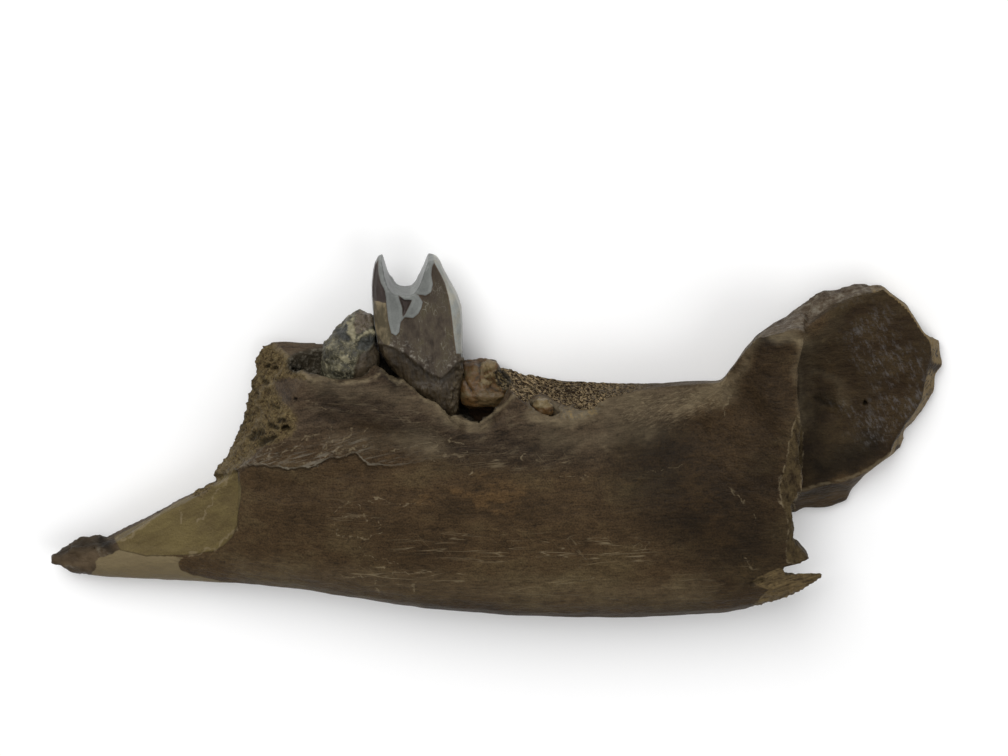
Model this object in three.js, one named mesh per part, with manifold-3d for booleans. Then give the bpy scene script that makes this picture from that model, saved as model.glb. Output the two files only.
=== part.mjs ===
// Fossil left lower jawbone of a large kangaroo, broken in front and behind, as it lies on its
// inner side. Millimetres: +X runs to the back of the jaw, +Y to the teeth, +Z outward and up.
// The bone is one solid. The three broken teeth and the tip of a buried one are separate pieces.

import * as THREE from 'three';
import { mergeVertices } from 'three/addons/utils/BufferGeometryUtils.js';
import Module from 'manifold-3d';

const wasm = await Module();
wasm.setup();

// Driving sizes of the bone.
const jawFront = -94.2; // x of the broken tip
const bodyEnd = 68; // x past the broken back of the body
const plateStart = 44; // x inside the body where the ramus takes root
const plateEnd = 92; // x past the broken back of the ramus
const plateLow = -38; // y under the ramus
const plateHigh = 24; // y over the ramus
const plateThick = 6.7; // of the ramus away from its dish
const clearance = 0.35; // of a tooth in its socket
const fractureSwing = 0.55; // how far a broken face swings in and out
const fractureGrain = 3.1; // size of the facets on a broken face
const sky = 42; // z above everything
const under = 20; // depth of the block that planes the rests flat

// How finely the surfaces are divided.
const bodyStations = 58;
const bodyRows = 16;
const plateStations = 16;
const plateRows = 20;
const edgeLayers = 5;
const toothSides = 22;
const socketSides = 20;

// Finishes, as seen under plain light.
const finishes = {
  bone: { color: 0x4a3a2a, roughness: 0.62 },
  enamel: { color: 0x9a9a90, roughness: 0.35 },
  mottledEnamel: { color: 0x6c6a56, roughness: 0.5 },
  dentine: { color: 0x8a6c42, roughness: 0.6 },
};

// Small maths.
const clamp01 = (t) => Math.min(1, Math.max(0, t));
const mix = (a, b, t) => a + (b - a) * t;
const ease = (t) => clamp01(t) ** 2 * (3 - 2 * clamp01(t));
const distance = (a, b) => Math.hypot(b[0] - a[0], b[1] - a[1]);

// A smooth line y(x) through a few points, held level past its ends.
function smoothLine(points) {
  const last = points.length - 1;
  const slope = (i) => {
    const a = points[Math.max(0, i - 1)];
    const b = points[Math.min(last, i + 1)];
    return (b[1] - a[1]) / (b[0] - a[0]);
  };
  return (x) => {
    if (x <= points[0][0]) return points[0][1];
    if (x >= points[last][0]) return points[last][1];
    const i = points.findIndex((p) => p[0] > x) - 1;
    const [x0, y0] = points[i];
    const [x1, y1] = points[i + 1];
    const width = x1 - x0;
    const rise = y1 - y0;
    const t = (x - x0) / width;
    const start = slope(i) * width - rise;
    const end = rise - slope(i + 1) * width;
    return mix(y0, y1, t) + t * (1 - t) * (start * (1 - t) + end * t);
  };
}

// Soft swellings (height over 0) and hollows (under 0) of a surface, added up.
function swell(x, y, forms) {
  const one = ({ at, reach, height }) =>
    height * Math.exp(-(((x - at[0]) / reach[0]) ** 2) - ((y - at[1]) / reach[1]) ** 2);
  return forms.reduce((sum, form) => sum + one(form), 0);
}

// Repeatable noise between -1 and 1, for broken faces and worn teeth.
function latticeValue(i, j, k) {
  const s = Math.sin(i * 127.1 + j * 311.7 + k * 74.7) * 43758.5453;
  return (s - Math.floor(s)) * 2 - 1;
}
function noise(x, y, z, grain) {
  const place = [x / grain, y / grain, z / grain];
  const cell = place.map(Math.floor);
  const within = place.map((v, n) => ease(v - cell[n]));
  let sum = 0;
  for (let corner = 0; corner < 8; corner++) {
    const step = [corner & 1, (corner >> 1) & 1, corner >> 2];
    const weight = step.reduce((w, s, n) => w * (s ? within[n] : 1 - within[n]), 1);
    sum += weight * latticeValue(cell[0] + step[0], cell[1] + step[1], cell[2] + step[2]);
  }
  return sum;
}

// Geometry to solid and back.
function solid(geometry) {
  const loose = geometry.index ? geometry.toNonIndexed() : geometry;
  const bare = new THREE.BufferGeometry().setAttribute('position', loose.getAttribute('position'));
  const merged = mergeVertices(bare, 1e-4);
  const vertProperties = merged.attributes.position.array;
  const triVerts = new Uint32Array(merged.index.array);
  return new wasm.Manifold(new wasm.Mesh({ numProp: 3, vertProperties, triVerts }));
}
function largest(made) {
  return made.decompose().reduce((a, b) => (b.volume() > a.volume() ? b : a));
}
function meshOf(made, name, finish) {
  const { vertProperties, triVerts } = largest(made).getMesh();
  const geometry = new THREE.BufferGeometry()
    .setAttribute('position', new THREE.BufferAttribute(vertProperties, 3))
    .setIndex(new THREE.BufferAttribute(triVerts, 1));
  geometry.computeVertexNormals();
  const mesh = new THREE.Mesh(geometry, new THREE.MeshStandardMaterial({ metalness: 0, ...finish }));
  mesh.name = name;
  return mesh;
}

// A closed solid through rings of equal count, each turning left as seen from the next one.
// End faces fan out from the ring's middle. A jagged ring that lies flat in z is cut by ears.
function loft(rings, jagged = false) {
  const corners = [];
  const face = (a, b, c) => corners.push(...a, ...b, ...c);
  for (let r = 0; r + 1 < rings.length; r++) {
    const [lower, upper] = [rings[r], rings[r + 1]];
    lower.forEach((p, i) => {
      const j = (i + 1) % lower.length;
      face(p, lower[j], upper[j]);
      face(p, upper[j], upper[i]);
    });
  }
  [rings[0], rings.at(-1)].forEach((ring, isEnd) => {
    const lid = jagged ? earLid(ring) : fanLid(ring);
    lid.forEach(([a, b, c]) => (isEnd ? face(a, c, b) : face(a, b, c)));
  });
  const geometry = new THREE.BufferGeometry();
  geometry.setAttribute('position', new THREE.Float32BufferAttribute(corners, 3));
  return solid(geometry);
}
function fanLid(ring) {
  const centre = [0, 1, 2].map((n) => ring.reduce((sum, p) => sum + p[n], 0) / ring.length);
  return ring.map((p, i) => [centre, ring[(i + 1) % ring.length], p]);
}
function earLid(ring) {
  const flat = ring.map(([x, y]) => new THREE.Vector2(x, y));
  const faces = THREE.ShapeUtils.triangulateShape(flat, []).map((f) => f.map((n) => ring[n]));
  return THREE.ShapeUtils.isClockWise(flat) ? faces : faces.map((f) => f.slice().reverse());
}

function egg({ at: [x, y, z], radii }) {
  const ball = new THREE.SphereGeometry(1, 20, 12);
  return solid(ball.scale(...radii).translate(x, y, z));
}

// A socket: a round pit with a domed floor, open towards the chewing side.
function pit({ at: [x, z], radii: [rx, rz], floor }) {
  const dome = 3; // height over which the floor rounds up into the walls
  const tall = 30;
  const profile = [[0, 0], [0.45, 0.1 * dome], [0.8, 0.45 * dome], [1, dome], [1, tall], [0, tall]];
  const bowl = new THREE.LatheGeometry(profile.map((p) => new THREE.Vector2(...p)), socketSides);
  return solid(bowl.scale(rx, 1, rz).translate(x, floor, z));
}

// Lines along the body: y of its lower border and of the row of sockets, z of its faces.
const lowerBorder = smoothLine([
  [-94.2, -43], [-91.5, -44.6], [-86, -45.9], [-77, -46.1], [-67, -46], [-54.5, -45.9],
  [-42, -46.5], [-22, -49.6], [-1, -51.6], [20, -52.1], [40, -51.5], [57, -49.3],
]);
const upperBorder = smoothLine([
  [-94.8, -40], [-80, -37], [-62, -26], [-50, -4], [-38, 3], [15, -2], [42, 2], [58, 13],
]);
const aboveBorder = smoothLine([[-94.8, -33], [-82, -28], [-62, -14], [-56, 10], [40, 12], [50, 20]]);
const outerBelly = smoothLine([
  [-94.8, 6.4], [-90, 8.2], [-82, 9.8], [-66, 13.2], [-54, 16.8], [-42, 19.4], [-20, 21],
  [20, 21.6], [45, 21.8], [60, 22],
]);
const outerRim = smoothLine([
  [-94.8, 6], [-80, 9], [-54, 14], [-38, 17.4], [10, 17.2], [22, 15.5], [34, 14], [43, 15],
  [52, 17.5], [60, 17],
]);
const borderHeight = smoothLine([[-94.8, 5], [-80, 5.2], [-54, 8.5], [-20, 9.5], [60, 10]]);
const innerFace = smoothLine([
  [-94.8, 3.6], [-89, 0.8], [-82, -0.5], [-62, -0.5], [-54, 0.7], [-20, 1.2], [60, 1.3],
]);

// Swellings and hollows of the two faces.
const outerForms = [
  { at: [57, -8], reach: [8, 16], height: 1.6 }, // flare before the chewing muscle's hollow
  { at: [34, -7], reach: [10, 7], height: -1.3 }, // trough outside the last sockets
];
const innerForms = [{ at: [-5, -30], reach: [45, 3.5], height: 0.9 }]; // groove along the inner side
const plateOuterForms = [
  { at: [68, -5], reach: [12, 13], height: -2.6 }, // dish of the chewing muscle
  { at: [58, 14], reach: [8, 9], height: 4.6 }, // thick front border of the ramus
];
const plateInnerForms = [
  { at: [64, -7], reach: [12, 10], height: 1.1 }, // hollow of the inner side
  { at: [68, -27], reach: [9, 6], height: -2.3 }, // lower rest
  { at: [73, 11], reach: [8, 5], height: -2.1 }, // upper rest
];

const bellyHeight = 0.42; // where the body is thickest, as a share of its depth
const outerRound = { most: 14, share: 0.8, power: 2.2 }; // how the lower border rounds outward
const innerRound = { most: 9.8, share: 0.6, power: 2 };
const rimLip = { width: 8, height: 1.2 }; // the inner face draws in under the rim

function roundOff(x, y, depth, { most, share, power }) {
  const rise = clamp01((y - lowerBorder(x)) / Math.min(most, share * depth));
  return (1 - (1 - rise) ** power) ** (1 / power);
}
function outerSurface(x, y) {
  const depth = upperBorder(x) - lowerBorder(x);
  const upward = (y - lowerBorder(x)) / depth;
  const wall = mix(outerBelly(x), outerRim(x), ease((upward - bellyHeight) / (1 - bellyHeight)));
  return mix(borderHeight(x), wall + swell(x, y, outerForms), roundOff(x, y, depth, outerRound));
}
function innerSurface(x, y) {
  const depth = upperBorder(x) - lowerBorder(x);
  const lip = rimLip.height * ease((y - upperBorder(x)) / rimLip.width + 1);
  const wall = innerFace(x) + swell(x, y, innerForms) + lip;
  return mix(borderHeight(x), wall, roundOff(x, y, depth, innerRound));
}
function plateOuter(x, y) {
  return plateThick + 1.3 + swell(x, y, plateOuterForms);
}
function plateInner(x, y) {
  return 1.3 + swell(x, y, plateInnerForms);
}

// One ring across the bone: up the inner side, then down the outer side.
function crossRing(x, low, top, outer, inner, rows) {
  const height = (i) => mix(low, top, (i / rows) ** 1.35); // rows are closer low down
  const ring = [];
  for (let i = 1; i <= rows; i++) ring.push([x, height(i), inner(x, height(i))]);
  for (let i = rows; i >= 0; i--) ring.push([x, height(i), outer(x, height(i))]);
  return ring;
}
function roundedBody() {
  const rings = [];
  for (let s = 0; s <= bodyStations; s++) {
    const x = mix(jawFront, bodyEnd, s / bodyStations);
    rings.push(crossRing(x, lowerBorder(x), aboveBorder(x), outerSurface, innerSurface, bodyRows));
  }
  return loft(rings);
}
function roundedPlate() {
  const rings = [];
  for (let s = 0; s <= plateStations; s++) {
    const x = mix(plateStart, plateEnd, s / plateStations);
    rings.push(crossRing(x, plateLow, plateHigh, plateOuter, plateInner, plateRows));
  }
  return loft(rings);
}

// The bone's edges, seen from outside. Each is drawn twice: outer where it meets the outer face,
// inner where it meets the inner face. The broken or open face runs between the two.
const bodyEdges = {
  outerAt: 18, // z of the outer lines
  innerAt: 1.5,
  edges: [
    {
      part: 'open side below',
      outer: [[50, -64], [-100, -64], [-100, -43]],
      inner: [[50, -64], [-100, -64], [-100, -43]],
      fracture: 0,
    },
    {
      part: 'tip',
      outer: [[-100, -43], [-93.6, -42.4], [-89.6, -40], [-86, -39.2], [-79.5, -36.2]],
      inner: [
        [-100, -43], [-93.8, -42.6], [-92, -40.9], [-89.2, -39], [-85, -38.5], [-82.3, -38.9],
        [-80.2, -38.1],
      ],
      fracture: 1,
    },
    {
      part: 'slope in front of the teeth',
      outer: [[-79.5, -36.2], [-72.5, -30.2], [-66, -26.3], [-60.5, -22.8], [-54.2, -17.9]],
      inner: [[-80.2, -38.1], [-73.5, -34.4], [-67, -30.6], [-61.8, -27.9], [-58.2, -25.8]],
      fracture: 0.4,
    },
    {
      part: 'front break',
      outer: [[-54.2, -17.9], [-50.5, -15.6], [-45.5, -10.5], [-42.6, -5], [-41, -1], [-38, 2.8]],
      inner: [
        [-58.2, -25.8], [-59, -24.4], [-57, -21], [-54.6, -16.5], [-52.9, -11.5], [-52.4, -7],
        [-51.4, -1.5], [-49.8, 4.5],
      ],
      fracture: 1.3,
    },
    {
      part: 'rim of the sockets',
      outer: [
        [-38, 2.8], [-35.3, 3], [-32.4, 1.8], [-27.4, 2.2], [-25.5, 2.8], [-23.8, 5.2], [-22.5, 3.6],
        [-20.9, 1.8], [-19.5, 2.8], [-18.6, 1.3], [-15.6, -1.4], [-12.7, -3.2], [-9.8, -7.4],
        [-7.6, -9.2], [-5, -9.3], [-2.4, -7.2], [-0.2, -5.2], [2.2, -0.9],
      ],
      inner: [
        [-49.8, 4.5], [-45.2, 5.6], [-41.2, 5.1], [-36.2, 4.9], [-26.7, 4.2], [-17, 3], [-7.9, 1.6],
        [-2.8, 0.5], [0.2, -0.6],
      ],
      fracture: 0.3,
    },
    {
      part: 'worn spongy bone',
      outer: [[2.2, -0.9], [5.1, -3.4], [8.8, -5.2], [14.1, -5.4], [17, -4.4], [18.4, -2.1], [21, -0.8]],
      inner: [[0.2, -0.6], [3.2, -1.6], [8.3, -2.5], [13.4, -3.4], [23.6, -4.4]],
      fracture: 0.5,
    },
    {
      part: 'shelf behind the teeth',
      outer: [[21, -0.8], [26.9, 0.3], [34.8, 1.3], [43, 2.2]],
      inner: [[23.6, -4.4], [35.8, -4.1], [44.3, -3.9]],
      fracture: 0,
    },
    {
      part: 'front border of the ramus',
      outer: [[43, 2.2], [45.5, 6.2], [47.4, 8.8], [49.6, 11.6], [53.7, 12.9], [57.8, 13.1], [59.2, 12.4]],
      inner: [[44.3, -3.9], [47.2, 0.4], [51, 6.1], [56.3, 10], [60.3, 13.6]],
      fracture: 0.3,
    },
    {
      part: 'back break, with a splinter low down',
      outer: [
        [59.2, 12.4], [57.7, 5.3], [57.8, -1], [58.4, -6.4], [58.7, -12.9], [59.4, -17.2],
        [58.4, -20.5], [57, -22.6], [57.5, -25], [58, -28.6], [58.4, -31.5], [59.8, -32.7],
        [60.9, -34.2], [61.4, -35.6], [60.7, -37], [64.5, -38.2], [64.7, -39], [63.7, -39.8],
        [60.8, -41.6], [58.4, -42.9], [57.6, -44.4], [55.2, -45.8], [50, -48.3], [50, -64],
      ],
      inner: [
        [60.3, 13.6], [57, 2], [55.6, -12], [54.8, -25], [54, -36], [52, -44], [50, -50], [50, -64],
      ],
      fracture: 0.7,
    },
  ],
};
const plateEdges = {
  outerAt: 8.5,
  innerAt: 2.5,
  edges: [
    {
      part: 'root inside the body',
      outer: [[46, -28], [46, 1], [53.5, 10.5]],
      inner: [[46, -32], [46, -4], [51, 4]],
      fracture: 0,
    },
    {
      part: 'top of the ramus',
      outer: [[53.5, 10.5], [60.7, 11.6], [64, 14], [67.9, 15.7], [71.4, 17.2], [75.5, 18.3]],
      inner: [
        [51, 4], [56.3, 10], [60.3, 13.5], [63.5, 15.2], [66.3, 15.5], [70.6, 17.1], [73.4, 16.6],
        [76, 16.6],
      ],
      fracture: 0.2,
    },
    {
      part: 'back of the ramus',
      outer: [
        [75.5, 18.3], [77.8, 16.5], [80.3, 14.2], [84.2, 7.6], [84.7, 5.2], [84.1, 0.5], [83.9, -4.5],
        [82.3, -8.2], [79.2, -12.6],
      ],
      inner: [
        [76, 16.6], [81.1, 12.2], [85.1, 5.9], [88.1, 4.8], [88.1, 2], [88.8, -0.4], [87.5, -2.4],
        [87.5, -5.9], [85.6, -10.3], [83, -13.4], [81.7, -14.8], [82, -16.6], [81.3, -18.7],
      ],
      fracture: 0.5,
    },
    {
      part: 'bottom of the ramus',
      outer: [
        [79.2, -12.6], [78.7, -16.6], [76.2, -19.2], [72.8, -21], [67.4, -22.8], [63.4, -24],
        [59.8, -25.4], [46, -28],
      ],
      inner: [
        [81.3, -18.7], [79.3, -20.1], [74.4, -24.1], [71.6, -28.2], [71.2, -30.4], [66.9, -32],
        [61.8, -32.2], [60, -33.4], [46, -32],
      ],
      fracture: 0.3,
    },
  ],
};

// Place at a share of a broken line's length, and the shares of its corners.
function shares(points) {
  const steps = points.slice(1).map((p, i) => distance(points[i], p));
  const whole = steps.reduce((a, b) => a + b, 0);
  let sum = 0;
  return [0, ...steps.map((step) => (sum += step) / whole)];
}
function placeAt(points, share) {
  const marks = shares(points);
  const i = Math.max(1, marks.findIndex((mark) => mark >= share));
  const t = clamp01((share - marks[i - 1]) / (marks[i] - marks[i - 1]));
  return [0, 1].map((n) => mix(points[i - 1][n], points[i][n], t));
}
// Matches the two lines of each edge corner by corner, and joins the edges into one outline.
function matchedOutline(edges) {
  const least = 0.012; // shares closer than this are one corner
  return edges.flatMap(({ outer, inner, fracture }) => {
    const marks = [...shares(outer), ...shares(inner)].sort((a, b) => a - b);
    const kept = marks.filter((s, i) => s < 1 - least / 10 && (i === 0 || s - marks[i - 1] > least));
    return kept.map((s) => ({ outer: placeAt(outer, s), inner: placeAt(inner, s), fracture }));
  });
}
function edgePrism({ outerAt, innerAt, edges }) {
  const outline = matchedOutline(edges);
  const ringAt = (z, outward) =>
    outline.map(({ outer, inner, fracture }) => {
      const [x, y] = [0, 1].map((n) => mix(inner[n], outer[n], outward));
      const swing = fracture * fractureSwing;
      return [x + swing * noise(x, y, z, fractureGrain), y + swing * noise(y, z, x, fractureGrain), z];
    });
  const rings = [ringAt(-under, 0)];
  for (let n = 0; n <= edgeLayers; n++) {
    rings.push(ringAt(mix(innerAt, outerAt, n / edgeLayers), n / edgeLayers));
  }
  rings.push(ringAt(sky, 1));
  return loft(rings.map((ring) => ring.slice().reverse()), true);
}

// The scar in front, where the outer wall has split off along the root of the front tooth.
function frontScar() {
  const start = -81;
  const end = -53.7;
  const high = -12;
  const sag = 1.1; // how far its floor is hollowed
  const lowEdge = smoothLine([
    [-81, -36.6], [-79, -38.3], [-73.5, -38.4], [-66, -38], [-60, -36.8], [-56.5, -34.2], [-54.6, -30],
  ]);
  const floorLow = smoothLine([[-81, 8.6], [-73.5, 9.6], [-60, 12.2], [-54, 14]]);
  const floorHigh = smoothLine([[-81, 8.4], [-73.5, 8.4], [-60, 9.8], [-54, 12.2]]);
  const stations = 10;
  const rows = 5;
  const rings = [];
  for (let s = 0; s <= stations; s++) {
    const x = mix(start, end, s / stations);
    const low = lowEdge(x);
    const ring = [[x, low, sky], [x, high, sky]];
    for (let i = rows; i >= 0; i--) {
      const floor = mix(floorLow(x), floorHigh(x), i / rows) - sag * Math.sin((Math.PI * i) / rows);
      ring.push([x, mix(low, high, i / rows), floor]);
    }
    rings.push(ring.reverse());
  }
  return loft(rings);
}

// The slit that frees the splinter at the back. It runs obliquely through the wall.
function splinterSlit() {
  const slant = 0.384; // radians off the outward direction
  const drawnAt = 21; // z where its corners are given
  const corners = [[54.8, -36.8], [58, -36.2], [61, -35], [74, -34.6], [74, -38.2], [56.4, -38]];
  const lean = ([x, y]) => new THREE.Vector2(x, y * Math.cos(slant) - drawnAt * Math.sin(slant));
  const outline = new THREE.Shape(corners.map(lean));
  const blade = new THREE.ExtrudeGeometry(outline, { depth: 2 * sky, bevelEnabled: false });
  return solid(blade.translate(0, 0, -sky).rotateX(-slant));
}

// A tooth as a stack of rounded sections, from the root's tip up: [y, x from, x to, z from, z to].
const molarSections = [
  [-16, -12.6, -9.8, 8.6, 12], [-12, -13.4, -9.3, 7.6, 13], [-8, -14, -9.1, 6.6, 13.8],
  [-3, -17.6, -8.8, 5.8, 15], [0.5, -20.9, -8.3, 5.2, 15.8], [4, -23.3, -8.2, 5, 16.2],
  [8, -25.2, -8.2, 4.8, 16.2], [12, -25.8, -8.2, 4.8, 16], [15.5, -26, -8.4, 5, 15.8],
  [17.5, -26.1, -9, 5.4, 15.6], [20, -26.1, -10.2, 6, 15.4], [22.8, -25.8, -11.6, 6.6, 15],
  [24.8, -25.4, -12.4, 7.2, 14.8], [26, -24.8, -13.2, 7.8, 14.4],
];
const frontStumpSections = [
  [-13, -32, -28, 8.4, 12], [-9, -33.6, -26.6, 7, 13], [-4, -35.4, -25.2, 6, 14],
  [0.5, -36.3, -24.9, 5.4, 14.8], [4, -36.4, -24.3, 5.2, 15], [7.3, -35.8, -24.4, 5.4, 14.6],
  [10.2, -33.6, -25.1, 6.2, 13.6], [12.4, -31.6, -25.8, 7.2, 12.6], [14, -29.4, -26.3, 8.4, 11.4],
];
const rearStumpSections = [
  [-11, -5.6, -2.6, 4.6, 7.2], [-8.4, -6.6, -1.4, 4.2, 8], [-6.8, -7.2, -0.9, 4.2, 9.2],
  [-5.6, -7.5, -0.5, 4.2, 12], [-3, -7.9, 0.1, 4.2, 13], [0, -7.7, -0.1, 4, 12],
  [2, -7, -1.6, 3.8, 8.8],
];
const budSections = [
  [-7.4, 6, 9.8, 13, 15.6], [-5.6, 5.2, 11, 12.4, 16.4], [-3.6, 5.4, 10.6, 12.4, 16.4],
  [-1.9, 6.6, 9.2, 13.2, 15.8],
];
const wear = { molar: 0, frontStump: 0.09, rearStump: 0.07, bud: 0.08 }; // lumpiness of each
const squareness = 0.75; // 1 would make round sections, less makes them boxier
const lumpGrain = 2.6;

function toothSolid(sections, lumpy, grow = 0) {
  const boxy = (v) => Math.sign(v) * Math.abs(v) ** squareness;
  const last = sections.length - 1;
  const rings = sections.map(([y, x0, x1, z0, z1], level) => {
    const longer = (level === last ? grow : 0) - (level === 0 ? grow : 0);
    const [cx, cz] = [(x0 + x1) / 2, (z0 + z1) / 2];
    const ring = [];
    for (let i = toothSides; i > 0; i--) {
      const angle = (2 * Math.PI * i) / toothSides;
      const x = cx + ((x1 - x0) / 2 + grow) * boxy(Math.cos(angle));
      const z = cz + ((z1 - z0) / 2 + grow) * boxy(Math.sin(angle));
      const lump = 1 + lumpy * noise(x, y, z, lumpGrain);
      ring.push([mix(cx, x, lump), y + longer, mix(cz, z, lump)]);
    }
    return ring;
  });
  return loft(rings);
}

// The valley between the two ridges of the whole molar, right across the crown.
function molarValley() {
  const valley = new THREE.Shape();
  valley.moveTo(-24.3, 28);
  valley.lineTo(-23.4, 23.4);
  valley.bezierCurveTo(-22.9, 20.6, -22.2, 19.6, -20.6, 19.4);
  valley.lineTo(-18.4, 19.4);
  valley.bezierCurveTo(-16.6, 20, -16.2, 22.6, -14.9, 26);
  valley.lineTo(-14.2, 28);
  return solid(new THREE.ExtrudeGeometry(valley, { depth: sky, bevelEnabled: false, curveSegments: 5 }));
}
// The flat fracture down the outer side of the crown.
function crownFracture() {
  const slab = new THREE.BoxGeometry(30, 40, 10);
  return solid(slab.rotateX(0.045).translate(-17, 20, 20.1));
}
function molar() {
  const innerBasin = egg({ at: [-19.6, 20.2, 5.2], radii: [2.6, 3.6, 4.2] });
  const cutters = [molarValley(), crownFracture(), innerBasin];
  return cutters.reduce((made, cutter) => made.subtract(cutter), toothSolid(molarSections, wear.molar));
}
function frontStump() {
  const neighbour = toothSolid(molarSections, wear.molar, clearance);
  return toothSolid(frontStumpSections, wear.frontStump).subtract(neighbour);
}
function rearStump() {
  const chip = new THREE.BoxGeometry(9, 6, 9).rotateZ(0.5).rotateY(-0.4).translate(-1.2, 2.6, 13.4);
  return toothSolid(rearStumpSections, wear.rearStump).subtract(solid(chip));
}

// The bone itself.
const muscleHollow = { at: [63, -7, 12.4], radii: [21, 15.5, 5.6] }; // runs forward inside the wall
const jawCanal = { at: [61, -37, 11.6], radii: [16, 10, 7] }; // open at the broken back
const nerveHole = { at: [50, -12, 0.4], radii: [4.2, 2.2, 2.4] }; // on the inner side
const sockets = [
  { at: [-32, 10.2], radii: [10.4, 5.6], floor: -8 },
  { at: [-16.4, 10.4], radii: [8.4, 6.2], floor: -11 },
  { at: [-4.6, 9], radii: [5.6, 6.2], floor: -12 },
];
function jawbone() {
  const table = solid(new THREE.BoxGeometry(300, 300, under).translate(0, 0, -under / 2));
  const bodyCuts = [egg(muscleHollow), egg(jawCanal), frontScar(), splinterSlit(), ...sockets.map(pit)];
  const lastCuts = [
    toothSolid(molarSections, wear.molar, clearance),
    toothSolid(frontStumpSections, wear.frontStump, clearance),
    toothSolid(rearStumpSections, wear.rearStump, clearance),
    toothSolid(budSections, wear.bud, clearance),
    egg(nerveHole),
    table,
  ];
  const body = roundedBody().intersect(edgePrism(bodyEdges));
  const plate = roundedPlate().intersect(edgePrism(plateEdges));
  const openBody = bodyCuts.reduce((made, cutter) => made.subtract(cutter), body);
  return lastCuts.reduce((made, cutter) => made.subtract(cutter), openBody.add(plate));
}

const jaw = new THREE.Group();
jaw.add(
  meshOf(jawbone(), 'jawbone', finishes.bone),
  meshOf(frontStump(), 'tooth_front_stump', finishes.mottledEnamel),
  meshOf(molar(), 'tooth_molar', finishes.enamel),
  meshOf(rearStump(), 'tooth_rear_stump', finishes.dentine),
  meshOf(toothSolid(budSections, wear.bud), 'tooth_bud', finishes.dentine),
);
// The origin is under the middle of the bone, on the table.
const middle = new THREE.Box3().setFromObject(jaw).getCenter(new THREE.Vector3());
jaw.position.set(-middle.x, -middle.y, 0);

const part = new THREE.Group();
part.add(jaw);
export default part;
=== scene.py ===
import bpy
import math
import numpy as np
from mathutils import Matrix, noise


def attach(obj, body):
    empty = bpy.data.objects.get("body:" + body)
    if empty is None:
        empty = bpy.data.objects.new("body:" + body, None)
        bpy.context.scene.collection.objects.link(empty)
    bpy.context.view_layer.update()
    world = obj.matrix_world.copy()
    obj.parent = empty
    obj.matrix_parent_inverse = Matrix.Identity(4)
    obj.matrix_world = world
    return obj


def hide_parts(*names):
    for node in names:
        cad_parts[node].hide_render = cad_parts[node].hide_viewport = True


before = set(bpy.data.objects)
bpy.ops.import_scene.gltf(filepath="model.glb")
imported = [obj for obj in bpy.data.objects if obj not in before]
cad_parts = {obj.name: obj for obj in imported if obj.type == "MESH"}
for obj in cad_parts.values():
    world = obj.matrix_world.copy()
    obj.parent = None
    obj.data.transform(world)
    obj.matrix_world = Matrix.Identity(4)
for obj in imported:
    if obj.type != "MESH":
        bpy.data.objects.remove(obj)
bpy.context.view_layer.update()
print("frame loaded")

# The picture that the camera makes. Lines on the bone are drawn in its points, 1008 across and
# 756 down, and cast onto the bone along the camera's lines of sight.
picture = {
    "wide": 1008,
    "high": 756,
    "lens": 100,
    "sensor": 36,
    "aim": (0.002605, 0.01305, 0.010),  # what lies at the middle of the picture
    "lean": 22,  # degrees that the camera leans over from straight above, to the teeth's side
    "away": 0.560,  # metres
}
lean = math.radians(picture["lean"])
towardsCamera = np.array([0, math.sin(lean), math.cos(lean)])
pictureUp = np.array([0, math.cos(lean), -math.sin(lean)])
pointSize = picture["away"] * picture["sensor"] / picture["lens"] / picture["wide"]  # metres
mm = 0.001
farOff = 9.0  # millimetres, where a mark doesn't reach


def onPicture(places):  # picture points of places in the frame
    fromAim = places - np.array(picture["aim"])
    zoom = 1 / pointSize * picture["away"] / (picture["away"] - fromAim @ towardsCamera)
    across = picture["wide"] / 2 + fromAim[:, 0] * zoom
    down = picture["high"] / 2 - fromAim @ pictureUp * zoom
    return np.stack([across, down], axis=1)


# Distances on the picture, given in millimetres of the bone.
def toLine(seen, line):  # distance to an open line, and its side: over 0 to the right of its way
    line = np.array(line, float)
    best = np.full(len(seen), 1e9)
    side = np.zeros(len(seen))
    for start, end in zip(line[:-1], line[1:]):
        along = end - start
        share = np.clip((seen - start) @ along / (along @ along), 0, 1)
        gap = seen - start - share[:, None] * along
        length = np.hypot(gap[:, 0], gap[:, 1])
        nearer = length < best
        turn = along[0] * gap[:, 1] - along[1] * gap[:, 0]
        side = np.where(nearer, np.where(turn >= 0, 1, -1), side)
        best = np.where(nearer, length, best)
    return best * pointSize / mm, side


def within(seen, outline):  # over 0 inside a closed outline, and how deep inside
    closed = list(outline) + [outline[0]]
    depth = toLine(seen, closed)[0]
    inside = np.zeros(len(seen), bool)
    for (x0, y0), (x1, y1) in zip(closed[:-1], closed[1:]):
        if y0 != y1:
            crosses = (y0 > seen[:, 1]) != (y1 > seen[:, 1])
            inside ^= crosses & (seen[:, 0] < (x1 - x0) * (seen[:, 1] - y0) / (y1 - y0) + x0)
    return np.where(inside, depth, -depth)


def ramp(values, low, high):  # smooth step from 0 to 1
    share = np.clip((values - low) / (high - low), 0, 1)
    return share * share * (3 - 2 * share)


# Noise at places in millimetres, size being the width of one lump.
def lumps(places, size, octaves=3, stretch=(1, 1, 1)):
    scaled = places / mm / size / np.array(stretch)
    return np.array([noise.fractal(p, 1.0, 2.0, octaves) for p in scaled.tolist()])


def cells(places, size, stretch=(1, 1, 1)):  # 0 on the walls between cells, up to about 1 inside
    scaled = places / mm / size / np.array(stretch)
    nearest = [noise.voronoi(p)[0] for p in scaled.tolist()]
    return np.array([d[1] - d[0] for d in nearest])


def knobs(places, size, most=0.6, middle=0.3):  # lumps with creases between them
    return np.minimum(cells(places, size), most) - middle


# Mesh tools.
def only(piece):
    bpy.ops.object.select_all(action="DESELECT")
    piece.select_set(True)
    bpy.context.view_layer.objects.active = piece


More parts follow.
